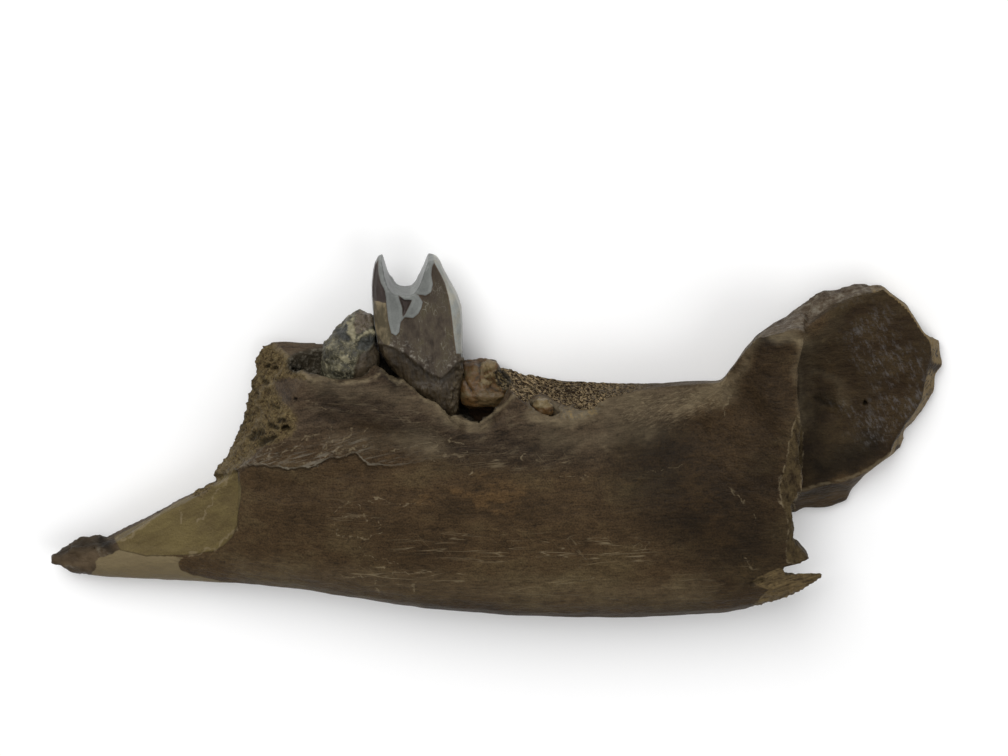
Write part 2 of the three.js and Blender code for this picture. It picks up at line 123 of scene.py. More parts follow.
def rows(items, name):  # three numbers for each vertex or face
    values = np.empty(len(items) * 3, np.float32)
    items.foreach_get(name, values)
    return values.reshape(-1, 3).astype(float)


def places(piece):
    return rows(piece.data.vertices, "co")


def move(piece, co):
    piece.data.vertices.foreach_set("co", co.astype(np.float32).ravel())
    piece.data.update()


def mode(name):
    bpy.ops.object.mode_set(mode=name)


def modify(piece, kind, **settings):
    only(piece)
    modifier = piece.modifiers.new(kind.title(), kind)
    for name, value in settings.items():
        setattr(modifier, name, value)
    bpy.ops.object.modifier_apply(modifier=modifier.name)


def evenCopy(node, name, sizes):  # a node's shape with its surface in small even squares
    piece = bpy.data.objects.new(name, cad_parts[node].data.copy())
    bpy.context.scene.collection.objects.link(piece)
    piece.data.materials.clear()
    only(piece)
    mode("EDIT")
    bpy.ops.mesh.select_all(action="SELECT")
    bpy.ops.mesh.remove_doubles(threshold=1e-7)
    mode("OBJECT")
    modify(piece, "REMESH", mode="VOXEL", voxel_size=sizes["grid"] * mm, use_smooth_shade=True)
    modify(piece, "SMOOTH", factor=0.5, iterations=sizes["smoothing"])
    return piece


def choose(piece, part, chosen):  # in edit mode, with the chosen vertices or faces selected
    only(piece)
    bpy.context.tool_settings.mesh_select_mode = (part == "vertices", False, part == "polygons")
    mode("EDIT")
    bpy.ops.mesh.select_all(action="DESELECT")
    mode("OBJECT")
    getattr(piece.data, part).foreach_set("select", chosen)
    mode("EDIT")


def refine(piece, chosen):  # halves the squares of the chosen faces
    choose(piece, "polygons", chosen)
    bpy.ops.mesh.subdivide(number_cuts=1, smoothness=0)
    bpy.ops.mesh.select_all(action="SELECT")
    bpy.ops.mesh.quads_convert_to_tris()
    mode("OBJECT")
    only(piece)
    bpy.ops.object.shade_smooth()


def smoothPart(piece, chosen, rounds):
    choose(piece, "vertices", chosen)
    bpy.ops.mesh.vertices_smooth(factor=0.5, repeat=rounds)
    mode("OBJECT")


# A piece's surface while it is shaped: where its points are, face and are seen. Marks are numbers
# kept at each point for the materials to read, most of them distances in millimetres.
class Form:
    def __init__(self, piece, sizes):
        self.piece = piece
        self.sizes = sizes
        self.at = places(piece)
        self.face = rows(piece.data.vertex_normals, "vector")
        self.seen = onPicture(self.at)
        self.toCamera = self.face @ towardsCamera

    def inside(self, *names):  # how deep inside the nearest outline of those names
        return np.max([within(self.seen, self.sizes[name]) for name in names], axis=0)

    def gap(self, name):
        return toLine(self.seen, self.sizes[name])[0]

    def lumps(self, size, octaves=3, stretch=(1, 1, 1)):
        return lumps(self.at, size, octaves, stretch)

    def waves(self, size, octaves, apart):  # across and down the picture, about 1 high
        both = [self.lumps(size, octaves), lumps(self.at + apart, size, octaves)]
        return np.stack(both, axis=1)

    def pushed(self, push):  # its points, moved outward by millimetres
        return self.at + self.face * push[:, None] * mm

    def keep(self, **marks):  # for the materials
        for name, values in marks.items():
            attribute = self.piece.data.attributes.new(name, "FLOAT", "POINT")
            attribute.data.foreach_set("value", values.astype(np.float32))


def dress(piece, node, material):
    piece.data.materials.append(material)
    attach(piece, "root")
    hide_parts(node)
    print(piece.name, "made,", len(piece.data.polygons), "faces")


# Shader maths: a wire is the output of a node, and sums of wires add Math nodes.
class Wire:
    def __init__(self, paint, socket):
        self.paint = paint
        self.socket = socket

    def sum(self, operation, first, second=0.0):
        return self.paint.add("ShaderNodeMath", {"operation": operation}, {0: first, 1: second})

    def __add__(self, other):
        return self.sum("ADD", self, other)

    def __radd__(self, other):
        return self.sum("ADD", other, self)

    def __sub__(self, other):
        return self.sum("SUBTRACT", self, other)

    def __rsub__(self, other):
        return self.sum("SUBTRACT", other, self)

    def __mul__(self, other):
        return self.sum("MULTIPLY", self, other)

    def __rmul__(self, other):
        return self.sum("MULTIPLY", other, self)

    def __abs__(self):
        return self.sum("ABSOLUTE", self)

    def most(self, other):
        return self.sum("MAXIMUM", self, other)

    def least(self, other):
        return self.sum("MINIMUM", self, other)

    def step(self, low, high):  # smoothly from 0 to 1 between two values, downward if low > high
        reach = {"Value": self, "From Min": low, "From Max": high}
        return self.paint.add("ShaderNodeMapRange", {"interpolation_type": "SMOOTHSTEP"}, reach)


class Paint:  # a material and its colour so far, laid on in coats from a palette
    def __init__(self, name, palette):
        self.palette = palette
        self.colour = None
        self.ragged = None  # what makes the marks' edges uneven
        self.material = bpy.data.materials.new(name)
        self.material.use_nodes = True
        self.tree = self.material.node_tree
        self.shader = self.tree.nodes["Principled BSDF"]
        self.here = self.add("ShaderNodeTexCoord", {}, {}, "Object")

    def put(self, socket, value):
        if isinstance(value, Wire):
            self.tree.links.new(value.socket, socket)
        else:
            socket.default_value = value

    def add(self, kind, settings, inputs, output=0):
        node = self.tree.nodes.new(kind)
        for name, value in settings.items():
            if name == "stops":
                self.setStops(node.color_ramp.elements, value)
            else:
                setattr(node, name, value)
        for name, value in inputs.items():
            self.put(node.inputs[name], value)
        return Wire(self, node.outputs[output])

    def setStops(self, elements, stops):
        while len(elements) < len(stops):
            elements.new(0.5)
        for element, (place, colour) in zip(elements, stops):
            element.position = place
            element.color = (*colour, 1)

    def mask(self, name):
        return self.add("ShaderNodeAttribute", {"attribute_name": name}, {}, "Fac")

    def uneven(self, name, by):
        return self.mask(name) + self.ragged * by

    def area(self, name, by, low, high):  # 0 to 1 as an uneven mark goes from low to high
        return self.uneven(name, by).step(low, high)

    def spread(self, size, long=1, wide=1, turn=0):  # its own coordinates, one unit to a lump
        scale = [mm * size * stretch for stretch in (long, wide, 1)]
        inputs = {"Vector": self.here, "Rotation": (0, 0, math.radians(turn)), "Scale": scale}
        return self.add("ShaderNodeMapping", {"vector_type": "TEXTURE"}, inputs)

    def cloud(self, size, detail=3, long=1, wide=1, turn=0, rough=0.55, warp=0.0):
        inputs = {"Vector": self.spread(size, long, wide, turn), "Scale": 1.0, "Detail": detail}
        inputs.update({"Roughness": rough, "Distortion": warp})
        return self.add("ShaderNodeTexNoise", {}, inputs, "Fac")

    def cell(self, size):
        inputs = {"Vector": self.spread(size), "Scale": 1.0}
        return self.add("ShaderNodeTexVoronoi", {}, inputs, "Distance")

    def colours(self, value, **places):  # the palette's colours at those values
        stops = [(place, self.palette[name]) for name, place in places.items()]
        return self.add("ShaderNodeValToRGB", {"stops": stops}, {"Fac": value}, "Color")

    def blend(self, share, first, second, way="MIX"):
        one, two = [(*self.palette[c], 1) if isinstance(c, str) else c for c in (first, second)]
        settings = {"data_type": "RGBA", "blend_type": way}
        return self.add("ShaderNodeMix", settings, {0: share, 6: one, 7: two}, 2)

    def dim(self, colour, share):  # a colour made darker, or brighter over 1
        grey = self.add("ShaderNodeCombineColor", {}, {0: share, 1: share, 2: share})
        return self.blend(1.0, colour, grey, "MULTIPLY")

    def coat(self, share, colour):  # lays a colour over what is there
        self.colour = self.blend(share, self.colour, colour)

    def shade(self, share):
        self.colour = self.dim(self.colour, share)

    def finish(self, roughness, height, glossy):  # height in millimetres
        bumps = self.add("ShaderNodeBump", {}, {"Strength": 1.0, "Distance": mm, "Height": height})
        self.put(self.shader.inputs["Base Color"], self.colour)
        self.put(self.shader.inputs["Roughness"], roughness)
        self.put(self.shader.inputs["Normal"], bumps)
        self.shader.inputs["Specular IOR Level"].default_value = glossy
        return self.material


# The bone. Lines are in points of the picture, and sizes in millimetres where they aren't.
jaw = {
    "grid": 0.66,
    "smoothing": 2,
    "finer": {  # outlines with finer squares, and how far past them
        "frontBreak": 0.4, "spongy": 0.4, "crest": 0.2, "backBreak": 0.4, "splinter": 0.4,
    },
    "finerOver": 3,  # z that the finer squares start at, and the scar
    "scarOver": 3.5,
    "plateFrom": 57.5,  # x and z that bound the thin ramus
    "plateUnder": 10,
    "plateRim": (74, 78),  # x over which its pale chipped rim sets in
    "socketsOver": -1.5,  # y over which the sockets' walls are rough
    "breakGrain": (0.5, 0.87),  # cosine and sine of the turn of the front break's ridges
    "spongeGrain": (0.79, 0.61),  # and of the spongy cells
    "breakForward": 0.6,  # how far the front break is moved forward
    "breakMoved": (350, 380),  # how far down the picture that sets in
    "stepFrom": (214, 240),  # how far across the picture the step sets in, and fades out
    "stepTo": (452, 340),
    "spongeTo": (690, 600),  # how far across its holes fade out
    "scar": [  # the smooth pale scar in front
        (110, 530), (145, 508), (175, 488), (200, 474), (222, 474), (236, 468), (239, 500),
        (237, 526), (232, 537), (224, 545), (213, 551), (188, 555), (146, 556), (120, 550),
    ],
    "lowBand": [  # the same pale layer under the scar
        (92, 556), (120, 550), (146, 556), (172, 556), (183, 558), (178, 563), (181, 570),
        (192, 575), (214, 579), (236, 585), (236, 592), (80, 592), (92, 572),
    ],
    "tip": [
        (30, 520), (106, 528), (116, 536), (112, 541), (119, 549), (112, 554), (96, 559),
        (97, 567), (92, 573), (86, 590), (30, 590),
    ],
    "frontBreak": [
        (200, 500), (222, 478), (237, 470), (250, 459), (262, 449), (282, 441), (292, 437),
        (298, 427), (297, 416), (290, 408), (283, 400), (278, 392), (273, 382), (286, 378),
        (311, 380), (303, 371), (284, 352), (262, 336), (230, 330), (180, 480),
    ],
    "septum": [(274, 345), (284, 354), (296, 366), (303, 373), (312, 381)],
    "breakEdge": [
        (284, 369), (276, 380), (266, 388), (262, 402), (264, 416), (250, 437), (236, 452),
        (222, 472),
    ],
    "stepLine": [
        (205, 480), (236, 470), (247, 466), (258, 465), (281, 468), (309, 468), (318, 464),
        (326, 461), (338, 457), (350, 454), (356, 453), (361, 459), (368, 465), (391, 467), (420, 463),
        (444, 456), (464, 457),
    ],
    "stepBranches": [  # finer cracks that leave it
        [(319, 463), (322, 450), (328, 431)], [(311, 467), (320, 456), (337, 449)],
        [(350, 454), (361, 450), (366, 439)], [(238, 469), (262, 459), (300, 446)],
        [(250, 466), (272, 461), (312, 452)], [(330, 459), (338, 446), (352, 434)],
    ],
    "fineLines": [  # pale scratches, cracks and thin ridges: line and half width in millimetres
        ([(118, 541), (130, 538), (137, 530), (160, 512), (190, 494), (226, 479)], 0.4),
        ([(229, 476), (220, 490), (209, 505), (207, 513), (199, 523)], 0.28),
        ([(238, 528), (226, 538), (213, 549), (190, 554)], 0.4), ([(180, 512), (181, 523)], 0.35),
        ([(332, 522), (334, 513), (345, 505), (351, 502), (360, 507), (367, 520)], 0.17),
        ([(343, 517), (360, 517)], 0.22),
        ([(333, 523), (336, 531), (346, 536), (363, 538), (375, 536), (383, 531)], 0.17),
        ([(365, 505), (374, 498), (382, 498), (390, 503), (410, 505), (430, 500)], 0.16),
        ([(360, 547), (366, 554), (376, 559), (393, 563), (405, 572)], 0.17),
        ([(366, 520), (376, 519), (383, 523), (380, 530)], 0.16),
        ([(346, 577), (390, 575), (430, 573)], 0.22), ([(356, 568), (388, 567)], 0.2),
        ([(378, 582), (375, 587), (378, 593)], 0.25), ([(415, 582), (411, 587), (413, 593)], 0.25),
        ([(442, 441), (452, 443), (465, 443)], 0.2), ([(448, 443), (454, 436)], 0.2),
        ([(432, 459), (448, 456), (465, 456)], 0.22), ([(461, 477), (469, 475), (479, 467)], 0.2),
        ([(522, 459), (527, 456)], 0.3), ([(555, 477), (590, 477)], 0.2),
        ([(647, 472), (664, 470), (684, 467)], 0.2), ([(822, 357), (827, 361), (832, 358)], 0.25),
        ([(731, 487), (740, 499), (748, 508)], 0.2), ([(752, 513), (757, 520)], 0.16),
        ([(745, 556), (749, 564), (752, 571)], 0.25), ([(724, 417), (725, 407), (731, 394)], 0.3),
        # a painted highlight along the ramus's front edge
        ([(722, 384), (734, 363), (752, 342), (763, 334)], 0.35),
        ([(240, 463), (262, 452), (290, 442), (318, 434)], 0.2),
        ([(262, 461), (292, 450), (322, 431)], 0.2), ([(336, 452), (348, 450), (372, 446)], 0.2),
        ([(304, 465), (322, 452), (331, 440), (333, 427)], 0.22),
        ([(322, 460), (338, 448), (352, 430)], 0.22),
        ([(340, 457), (354, 448), (364, 434), (368, 428)], 0.2),
        ([(778, 498), (790, 508), (793, 530), (795, 545)], 0.3),
        ([(784, 470), (779, 488), (786, 500)], 0.28), ([(789, 466), (786, 480), (789, 497)], 0.25),
        ([(390, 452), (420, 446), (440, 450)], 0.18), ([(300, 400), (330, 410), (352, 412)], 0.18),
    ],
    "rims": [  # pale edges of the bone round the sockets, worn, with a painted highlight on their top-facing lips
        [
            (312, 381), (325, 377), (340, 383), (365, 381), (375, 378), (383, 369), (390, 376),
            (398, 383), (405, 379), (411, 387), (425, 399), (440, 406), (450, 414), (461, 423),
            (478, 423), (490, 416), (505, 404), (515, 395),
        ],
        [(531, 402), (549, 403), (560, 412), (572, 415), (584, 416), (591, 411), (598, 401)],
    ],
    "pits": [  # ends of each on the picture, then half width and depth in millimetres
        ((285, 429), (289, 429), 0.55, 2.2), ((262, 442), (274, 438), 0.9, 1.5),
        ((254, 437), (262, 431), 0.8, 0.8), ((280, 420), (287, 421), 0.6, 0.7),
        ((270, 424), (277, 427), 0.45, 0.9), ((272, 405), (279, 408), 0.35, 0.7),
        ((294, 399), (296, 399), 0.3, 0.9), ((266, 366), (268, 366), 0.45, 0.9),
        ((272, 368), (274, 367), 0.4, 0.8), ((264, 381), (268, 383), 0.5, 0.7),
        ((261, 392), (262, 398), 0.5, 0.6), ((251, 420), (254, 414), 0.5, 0.5),
        ((865, 403), (866, 404), 0.4, 1.6), ((319, 417), (333, 421), 0.8, 0.35),
        ((325, 406), (341, 408), 0.3, 0.25), ((376, 403), (382, 402), 0.35, 0.2),
        ((268, 348), (277, 347), 0.25, 0.4), ((752, 584), (762, 581), 0.5, 0.6),
    ],
    "ridges": [  # soft swellings: line, half width and height in millimetres
        ([(800, 338), (772, 350), (752, 372), (736, 396), (716, 420)], 3.2, 0.5),
        ([(800, 345), (799, 380), (801, 430)], 1.6, 0.35),
        ([(806, 398), (824, 382), (842, 392), (846, 412)], 1.8, 0.3),
        ([(330, 392), (380, 398), (440, 424), (500, 428)], 4.0, 0.4),
        ([(440, 500), (560, 520), (680, 500)], 9.0, 0.35), ([(562, 408), (564, 409)], 0.9, 0.5),
        ([(572, 409), (577, 408)], 0.9, 0.6), ([(584, 411), (588, 410)], 0.9, 0.5),
        ([(722, 382), (736, 362), (757, 338)], 1.2, 0.3),
    ],
    "hollows": [
        ([(745, 400), (770, 440), (765, 480)], 5.0, 0.7),
        ([(815, 400), (828, 410)], 3.0, 0.7),
        ([(330, 425), (400, 436), (460, 446)], 3.2, 0.45),
        ([(240, 490), (300, 488), (350, 480)], 4.0, 0.3),
        ([(640, 440), (700, 430)], 4.0, 0.4),
        ([(880, 330), (900, 380), (880, 420)], 5.0, 0.5),
    ],
    "flange": [(800, 490), (815, 485), (835, 481), (852, 476), (870, 468), (892, 452)],
    # Tones are partly the bone's own darker and paler patches and partly painted light: painted shade in
    # hollows, in gaps beside the teeth, on the plate beside its upright edge and along the lower edge, and
    # a painted brightening where the plate glints.
    "tonesAndShade": [  # where it is darker or brighter: line, half width in millimetres and change
        ([(660, 470), (745, 545)], 19, -0.65), ([(772, 350), (770, 470)], 9, -0.45),
        ([(330, 400), (400, 430), (470, 450), (560, 450)], 8, -0.42),
        ([(758, 342), (788, 342)], 3, -0.35), ([(250, 590), (400, 606), (560, 617), (700, 612)], 4, -0.3),
        ([(450, 510), (451, 511)], 4, -0.25), ([(672, 534), (694, 534)], 4, -0.12),
        ([(300, 500), (420, 560)], 12, -0.1), ([(815, 410), (812, 460)], 3.5, -0.4),
        ([(825, 470), (850, 460), (872, 440)], 5, -0.6), ([(870, 330), (905, 380), (890, 420)], 6, 0.2),
        ([(820, 392), (832, 400)], 2.4, -0.5), ([(378, 350), (390, 368), (398, 380)], 4, -0.8),
        ([(470, 412), (490, 414)], 3, -0.6), ([(812, 378), (824, 372), (838, 385)], 0.8, -0.5),
        ([(815, 397), (828, 404), (842, 408)], 0.8, -0.4), ([(250, 380), (240, 430)], 3, -0.25),
        ([(60, 551), (82, 542), (104, 541)], 2.0, -0.6), ([(104, 546), (116, 552), (114, 560)], 1.6, -0.5),
        ([(66, 562), (96, 564)], 2.4, 0.5), ([(620, 440), (700, 430), (740, 400)], 6, -0.15),
    ],
    # Partly paler, greyish bone and partly painted highlight: on the shelf, along the ramus's front and
    # upright edges and on the sockets' lips, with a painted sheen along the lower edge.
    "bleached": [  # where it is pale and greyish, in the same way
        ([(318, 388), (380, 393), (420, 403), (445, 418)], 3.2, 0.13), ([(300, 362), (318, 368)], 4, 0.3),
        ([(330, 440), (400, 445), (440, 450)], 3, 0.1), ([(400, 438), (424, 436), (430, 450)], 3, 0.14),
        ([(612, 412), (650, 402), (690, 394), (722, 388)], 5, 0.2),
        ([(548, 442), (600, 438), (650, 430)], 3, 0.12), ([(800, 500), (840, 494), (864, 478)], 3, 0.05),
        ([(673, 412), (700, 396), (720, 384)], 1.6, 0.25), ([(540, 432), (600, 440), (650, 432)], 6, 0.06),
        ([(800, 340), (799, 380), (800, 430)], 1.2, 0.18), ([(722, 400), (742, 362), (755, 342)], 2.2, 0.2),
        ([(772, 336), (788, 336), (802, 344)], 2.4, 0.42), ([(806, 330), (806, 420)], 2.5, 0.08),
        ([(812, 345), (835, 320)], 3, 0.08), ([(812, 378), (826, 376), (842, 386), (846, 404)], 1.2, 0.1),
        ([(440, 408), (455, 422), (470, 429), (488, 422)], 1.6, 0.35), ([(262, 344), (252, 352)], 2, 0.25),
        ([(280, 405), (290, 425)], 3, 0.15), ([(530, 416), (560, 422), (590, 416)], 2.2, 0.4),
        ([(260, 590), (340, 602), (420, 612)], 2.5, 0.2), ([(600, 400), (640, 394)], 3, 0.2),
        ([(240, 572), (400, 586), (560, 596), (700, 594)], 5, 0.12),
    ],
    "rust": [
        ([(420, 497), (440, 497)], 2.5, 0.5), ([(462, 498), (513, 508)], 4, 0.7),
        ([(480, 482), (520, 490)], 4, 0.4), ([(780, 342), (794, 345)], 2.5, 0.5),
        ([(828, 372), (845, 392)], 3, 0.35), ([(560, 470), (640, 480)], 5, 0.25),
        ([(690, 490), (745, 545)], 12, 0.55), ([(800, 500), (835, 493), (864, 478)], 4, 1.2),
    ],
    "worn": [  # where fine pale scratches are dense
        ([(350, 574), (400, 577), (460, 577)], 2.4, 0.9), ([(335, 515), (380, 518)], 4.5, 0.35),
        ([(400, 544), (520, 546), (640, 548)], 4.5, 0.65), ([(480, 588), (620, 590)], 5, 0.4),
        ([(746, 556), (752, 570)], 2.2, 0.4),
        ([(430, 440), (480, 460), (560, 462)], 3.5, 0.5), ([(330, 400), (420, 424)], 5, 0.4),
        ([(600, 410), (700, 394)], 4.5, 0.7), ([(650, 585), (720, 590)], 5, 0.25),
    ],
    "glints": [([(870, 335), (900, 370), (905, 410)], 10, 1.0), ([(850, 410), (880, 440)], 6, 0.6)],
    "spongy": [
        (495, 352), (512, 360), (531, 368), (560, 373), (640, 378), (700, 380), (716, 386),
        (690, 389), (650, 389), (628, 393), (607, 398), (600, 405), (590, 411), (578, 410),
        (567, 408), (558, 403), (549, 397), (541, 393), (533, 398), (527, 403), (517, 398),
        (509, 389), (505, 382), (497, 370),
    ],
    "budPatch": [
        (528, 401), (541, 394), (552, 399), (562, 405), (575, 408), (590, 409), (600, 401),
        (606, 405), (598, 415), (584, 420), (572, 421), (558, 419), (545, 414), (528, 414),
    ],
    "crest": [
        (757, 336), (784, 314), (805, 298), (835, 286), (857, 277), (887, 281), (884, 287),
        (867, 292), (846, 300), (832, 305), (821, 313), (812, 322), (805, 333), (794, 331),
        (778, 332), (764, 337),
    ],
    "backBreak": [
        (781, 502), (779, 486), (786, 462), (790, 440), (797, 415), (803, 430), (803, 450),
        (801, 475), (800, 492), (794, 503), (797, 520), (797, 543), (812, 561), (800, 567),
        (787, 562), (786, 545), (789, 522),
    ],
    "splinter": [
        (750, 582), (764, 574), (778, 568), (800, 570), (832, 570), (832, 584), (806, 592),
        (790, 604), (770, 612), (748, 611), (760, 598), (768, 590), (756, 586),
    ],
    "sockets": [  # middle x and z, half sizes, in millimetres of the frame
        ((-29.4, 10.2), (10.6, 5.9)), ((-13.8, 10.4), (8.6, 6.4)), ((-2, 9), (5.8, 6.4)),
    ],
    # Where a highlight is painted on the shelf before the ramus, whose top faces the light.
    "shelf": [
        (610, 402), (640, 390), (690, 384), (724, 383), (734, 392), (716, 408), (690, 420),
        (655, 432), (625, 425),
    ],
    "upper": [
        (222, 478), (236, 468), (300, 462), (345, 450), (361, 440), (444, 453), (520, 470),
        (600, 466), (660, 440), (720, 400), (757, 330),
    ],
}


def softly(seen, marks):  # the sum of soft-edged lines
    total = np.zeros(len(seen))
    for line, width, amount in marks:
        total += amount * ramp(toLine(seen, line)[0], width, 0)
    return total


def nearest(seen, lines):
    return np.min([toLine(seen, line)[0] for line in lines], axis=0)


def turned(at, cosine, sine):  # about the frame's upright axis
    return at @ np.array([[cosine, -sine, 0], [sine, cosine, 0], [0, 0, 1]]).T


def makeJaw():
    piece = evenCopy("jawbone", "jawBone", jaw)
    at = rows(piece.data.polygons, "center")
    seen = onPicture(at)
    lines = jaw["rims"] + [jaw["stepLine"]] + [line for line, width in jaw["fineLines"]]
    fine = nearest(seen, lines) < 0.5
    for name, past in jaw["finer"].items():
        fine |= within(seen, jaw[name]) > -past
    fine &= at[:, 2] > jaw["finerOver"] * mm
    for start, end, width, depth in jaw["pits"]:
        fine |= toLine(seen, [start, end])[0] < width * 1.6
    refine(piece, fine)
    shapeJaw(Form(piece, jaw))
    return piece


def shapeJaw(form):
    shown = ramp(form.toCamera, -0.1, 0.25)  # 0 on faces that the camera can't see
    wavy = form.seen + form.waves(4, 2, 0.1) * 7
    push = 0.24 * form.lumps(11) + 0.1 * form.lumps(3.5, 3, (2.2, 1, 1))
    push += shown * (softly(wavy, jaw["ridges"]) - softly(wavy, jaw["hollows"]))
    push += shown * edgeRelief(form, wavy, shown) + breakRelief(form) + spongeRelief(form)
    moved = form.pushed(push + socketRelief(form))
    forward = brokenShare(form) * ramp(form.seen[:, 1], *jaw["breakMoved"])
    moved[:, 0] -= jaw["breakForward"] * mm * forward
    sinkPits(form, moved, shown)
    moved[:, 2] = np.maximum(moved[:, 2], 0)
    move(form.piece, moved)
    markJaw(form, wavy, shown)


def edgeRelief(form, wavy, shown):  # the step under the front break, rims of sockets and flange
    seen = form.seen
    wobble = form.waves(1.8, 3, -0.1)
    stepGap, stepSide = toLine(seen + wobble * 1.8, jaw["stepLine"])
    below = stepGap * stepSide
    share = ramp(seen[:, 0], *jaw["stepTo"]) * ramp(seen[:, 0], *jaw["stepFrom"])
    ragged = below + 0.3 * form.lumps(1.2)
    push = -0.5 * share * ramp(ragged, -0.15, 0.35) * ramp(below, 9, 2.5)
    push += 0.22 * share * ramp(np.abs(ragged + 0.4), 0.8, 0)
    branches = nearest(wavy, jaw["stepBranches"])
    push += 0.07 * ramp(branches + 0.25 * form.lumps(1.2, 2), 0.4, 0)
    rims = nearest(seen, jaw["rims"])
    push += 0.16 * ramp(rims + 0.35 * form.lumps(1.2, 2), 0.6, 0)
    flange = form.gap("flange")
    bent = seen + wobble * 4
    thin = np.min([toLine(bent, line)[0] / width for line, width in jaw["fineLines"]], axis=0)
    lines = {"branches": branches, "rims": rims, "flange": flange, "fineLines": thin}
    form.keep(**{name: np.where(shown > 0.1, gap, farOff) for name, gap in lines.items()})
    form.keep(stepLine=below, stepShare=share * shown)
    return push + 0.35 * ramp(flange, 1.0, 0)


def brokenShare(form):  # 1 on the front break, 0 off it
    return ramp(form.inside("frontBreak") + 1.1 * form.lumps(2.5), -0.2, 0.9)


def breakRelief(form):  # the crumbled front break, the torn back and the knobbed tip
    at = form.at
    slant = turned(at, *jaw["breakGrain"])
    broken = 0.7 * form.lumps(2.6, 4) + 0.5 * knobs(at, 1.2, 0.5, 0.35)
    broken += 0.7 * np.abs(lumps(slant, 1.3, 4, (1, 4, 1))) - 0.4
    edge, septum = form.gap("breakEdge"), form.gap("septum")
    broken += 0.45 * ramp(edge + 0.4 * form.lumps(1.1, 2), 0.9, 0)
    push = brokenShare(form) * broken
    push += 0.5 * ramp(septum + 0.15 * form.lumps(1, 2), 0.8, 0.1)
    torn = form.inside("backBreak", "splinter")
    strip = ramp(torn + 0.5 * form.lumps(1.4), -0.1, 0.4)
    push += strip * (0.35 * form.lumps(1.2, 4, (0.6, 2, 1)) - 0.1)
    tip = ramp(form.inside("tip"), -0.5, 1.5)
    push += tip * (0.7 * form.lumps(3, 4) + 0.25 * knobs(at, 2.2))
    form.keep(breakEdge=edge, septum=septum)
    return push


def spongeRelief(form):  # the spongy shelf's holes, and the crest over the ramus
    toTeeth = form.face[:, 1]
    sponge = ramp(form.inside("spongy"), -0.1, 0.5) * ramp(toTeeth, 0.1, 0.45)
    sponge = sponge * ramp(form.seen[:, 0], *jaw["spongeTo"])
    walls = cells(turned(form.at, *jaw["spongeGrain"]), 0.75, (2.0, 1, 1))
    crest = ramp(form.inside("crest"), -0.1, 0.4) * ramp(toTeeth, -0.2, 0.3)
    return crest * 0.35 * form.lumps(3, 4) - sponge * 0.6 * ramp(walls, 0.1, 0.45)


def socketRelief(form):
    inSocket = np.full(len(form.at), -farOff)
    for (x, z), (rx, rz) in jaw["sockets"]:
        reach = np.hypot((form.at[:, 0] / mm - x) / rx, (form.at[:, 2] / mm - z) / rz)
        inSocket = np.maximum(inSocket, (1.06 - reach) * rz)
    inSocket = np.where(form.at[:, 1] > jaw["socketsOver"] * mm, inSocket, -farOff)
    form.keep(socket=inSocket)
    return ramp(inSocket, -0.3, 0.4) * (0.3 * form.lumps(1.5, 4))


def sinkPits(form, moved, shown):
    pitShade = np.zeros(len(moved))
    for start, end, width, depth in jaw["pits"]:
        gap = toLine(form.seen, [start, end])[0] + 0.25 * width * form.lumps(width, 2)
        share = shown * ramp(gap, width * 1.3, width * 0.3)
        moved -= (depth * share * mm)[:, None] * (0.5 * form.face + 0.5 * towardsCamera)
        pitShade = np.maximum(pitShade, min(1, depth / 0.9) * share)
    form.keep(pitShade=pitShade)


def markJaw(form, wavy, shown):
    x, z = form.at[:, 0] / mm, form.at[:, 2] / mm
    toTeeth = form.face[:, 1]
    facing = (form.toCamera - 0.05) * 6
    for name in ("lowBand", "tip", "frontBreak", "backBreak", "splinter"):
        form.keep(**{name: form.inside(name)})
    for name in ("rust", "glints", "bleached"):
        form.keep(**{name: softly(wavy, jaw[name])})
    upperGap, upperSide = toLine(form.seen, jaw["upper"])
    plate = np.minimum(x - jaw["plateFrom"], jaw["plateUnder"] - z)
    onRim = ramp(x, *jaw["plateRim"]) * ramp(plate, 0, 1)
    form.keep(
        tone=1 + softly(wavy, jaw["tonesAndShade"]),
        worn=softly(wavy, jaw["worn"]) * shown,
        scar=np.minimum(form.inside("scar"), (z - jaw["scarOver"]) * 2),
        spongy=np.minimum(form.inside("spongy"), (toTeeth - 0.15) * 5),
        spongyFade=(form.seen[:, 0] - jaw["spongeTo"][1]) * pointSize / mm,
        budPatch=np.minimum(form.inside("budPatch"), facing),
        crest=np.minimum(form.inside("crest"), (toTeeth + 0.2) * 5),
        shelf=np.minimum(form.inside("shelf"), facing),
        upper=-upperGap * upperSide,
        plate=plate,
        plateEdge=onRim * ramp(np.abs(form.face[:, 2]), 0.75, 0.4),
    )


# Colours are linear.
bone = {
    "dark": (0.024, 0.0145, 0.0065),
    "brown": (0.045, 0.0275, 0.0125),
    "olive": (0.066, 0.047, 0.022),
    "plum": (0.052, 0.036, 0.023),
    "orange": (0.078, 0.044, 0.017),
    "pale": (0.190, 0.150, 0.090),
    "khaki": (0.117, 0.089, 0.036),
    "band": (0.160, 0.125, 0.074),
    "khakiDark": (0.080, 0.058, 0.025),
    "breakPale": (0.165, 0.127, 0.060),
    "tip": (0.058, 0.041, 0.024),
    "tipDark": (0.034, 0.023, 0.013),
    "broken": (0.108, 0.076, 0.035),
    "breakDark": (0.030, 0.019, 0.009),
    # painted shade in the sponge's pores
    "sponge": (0.245, 0.178, 0.096),
    "spongeDeep": (0.024, 0.014, 0.007),
    "greyWhite": (0.200, 0.180, 0.140),
    "plate": (0.017, 0.010, 0.0045),
    "plateOlive": (0.035, 0.0235, 0.0105),
    "socket": (0.030, 0.024, 0.015),
    "yellow": (0.190, 0.132, 0.055),
    "blueGrey": (0.105, 0.088, 0.062),
    "glint": (0.100, 0.094, 0.092),
    "crest": (0.085, 0.064, 0.044),
}


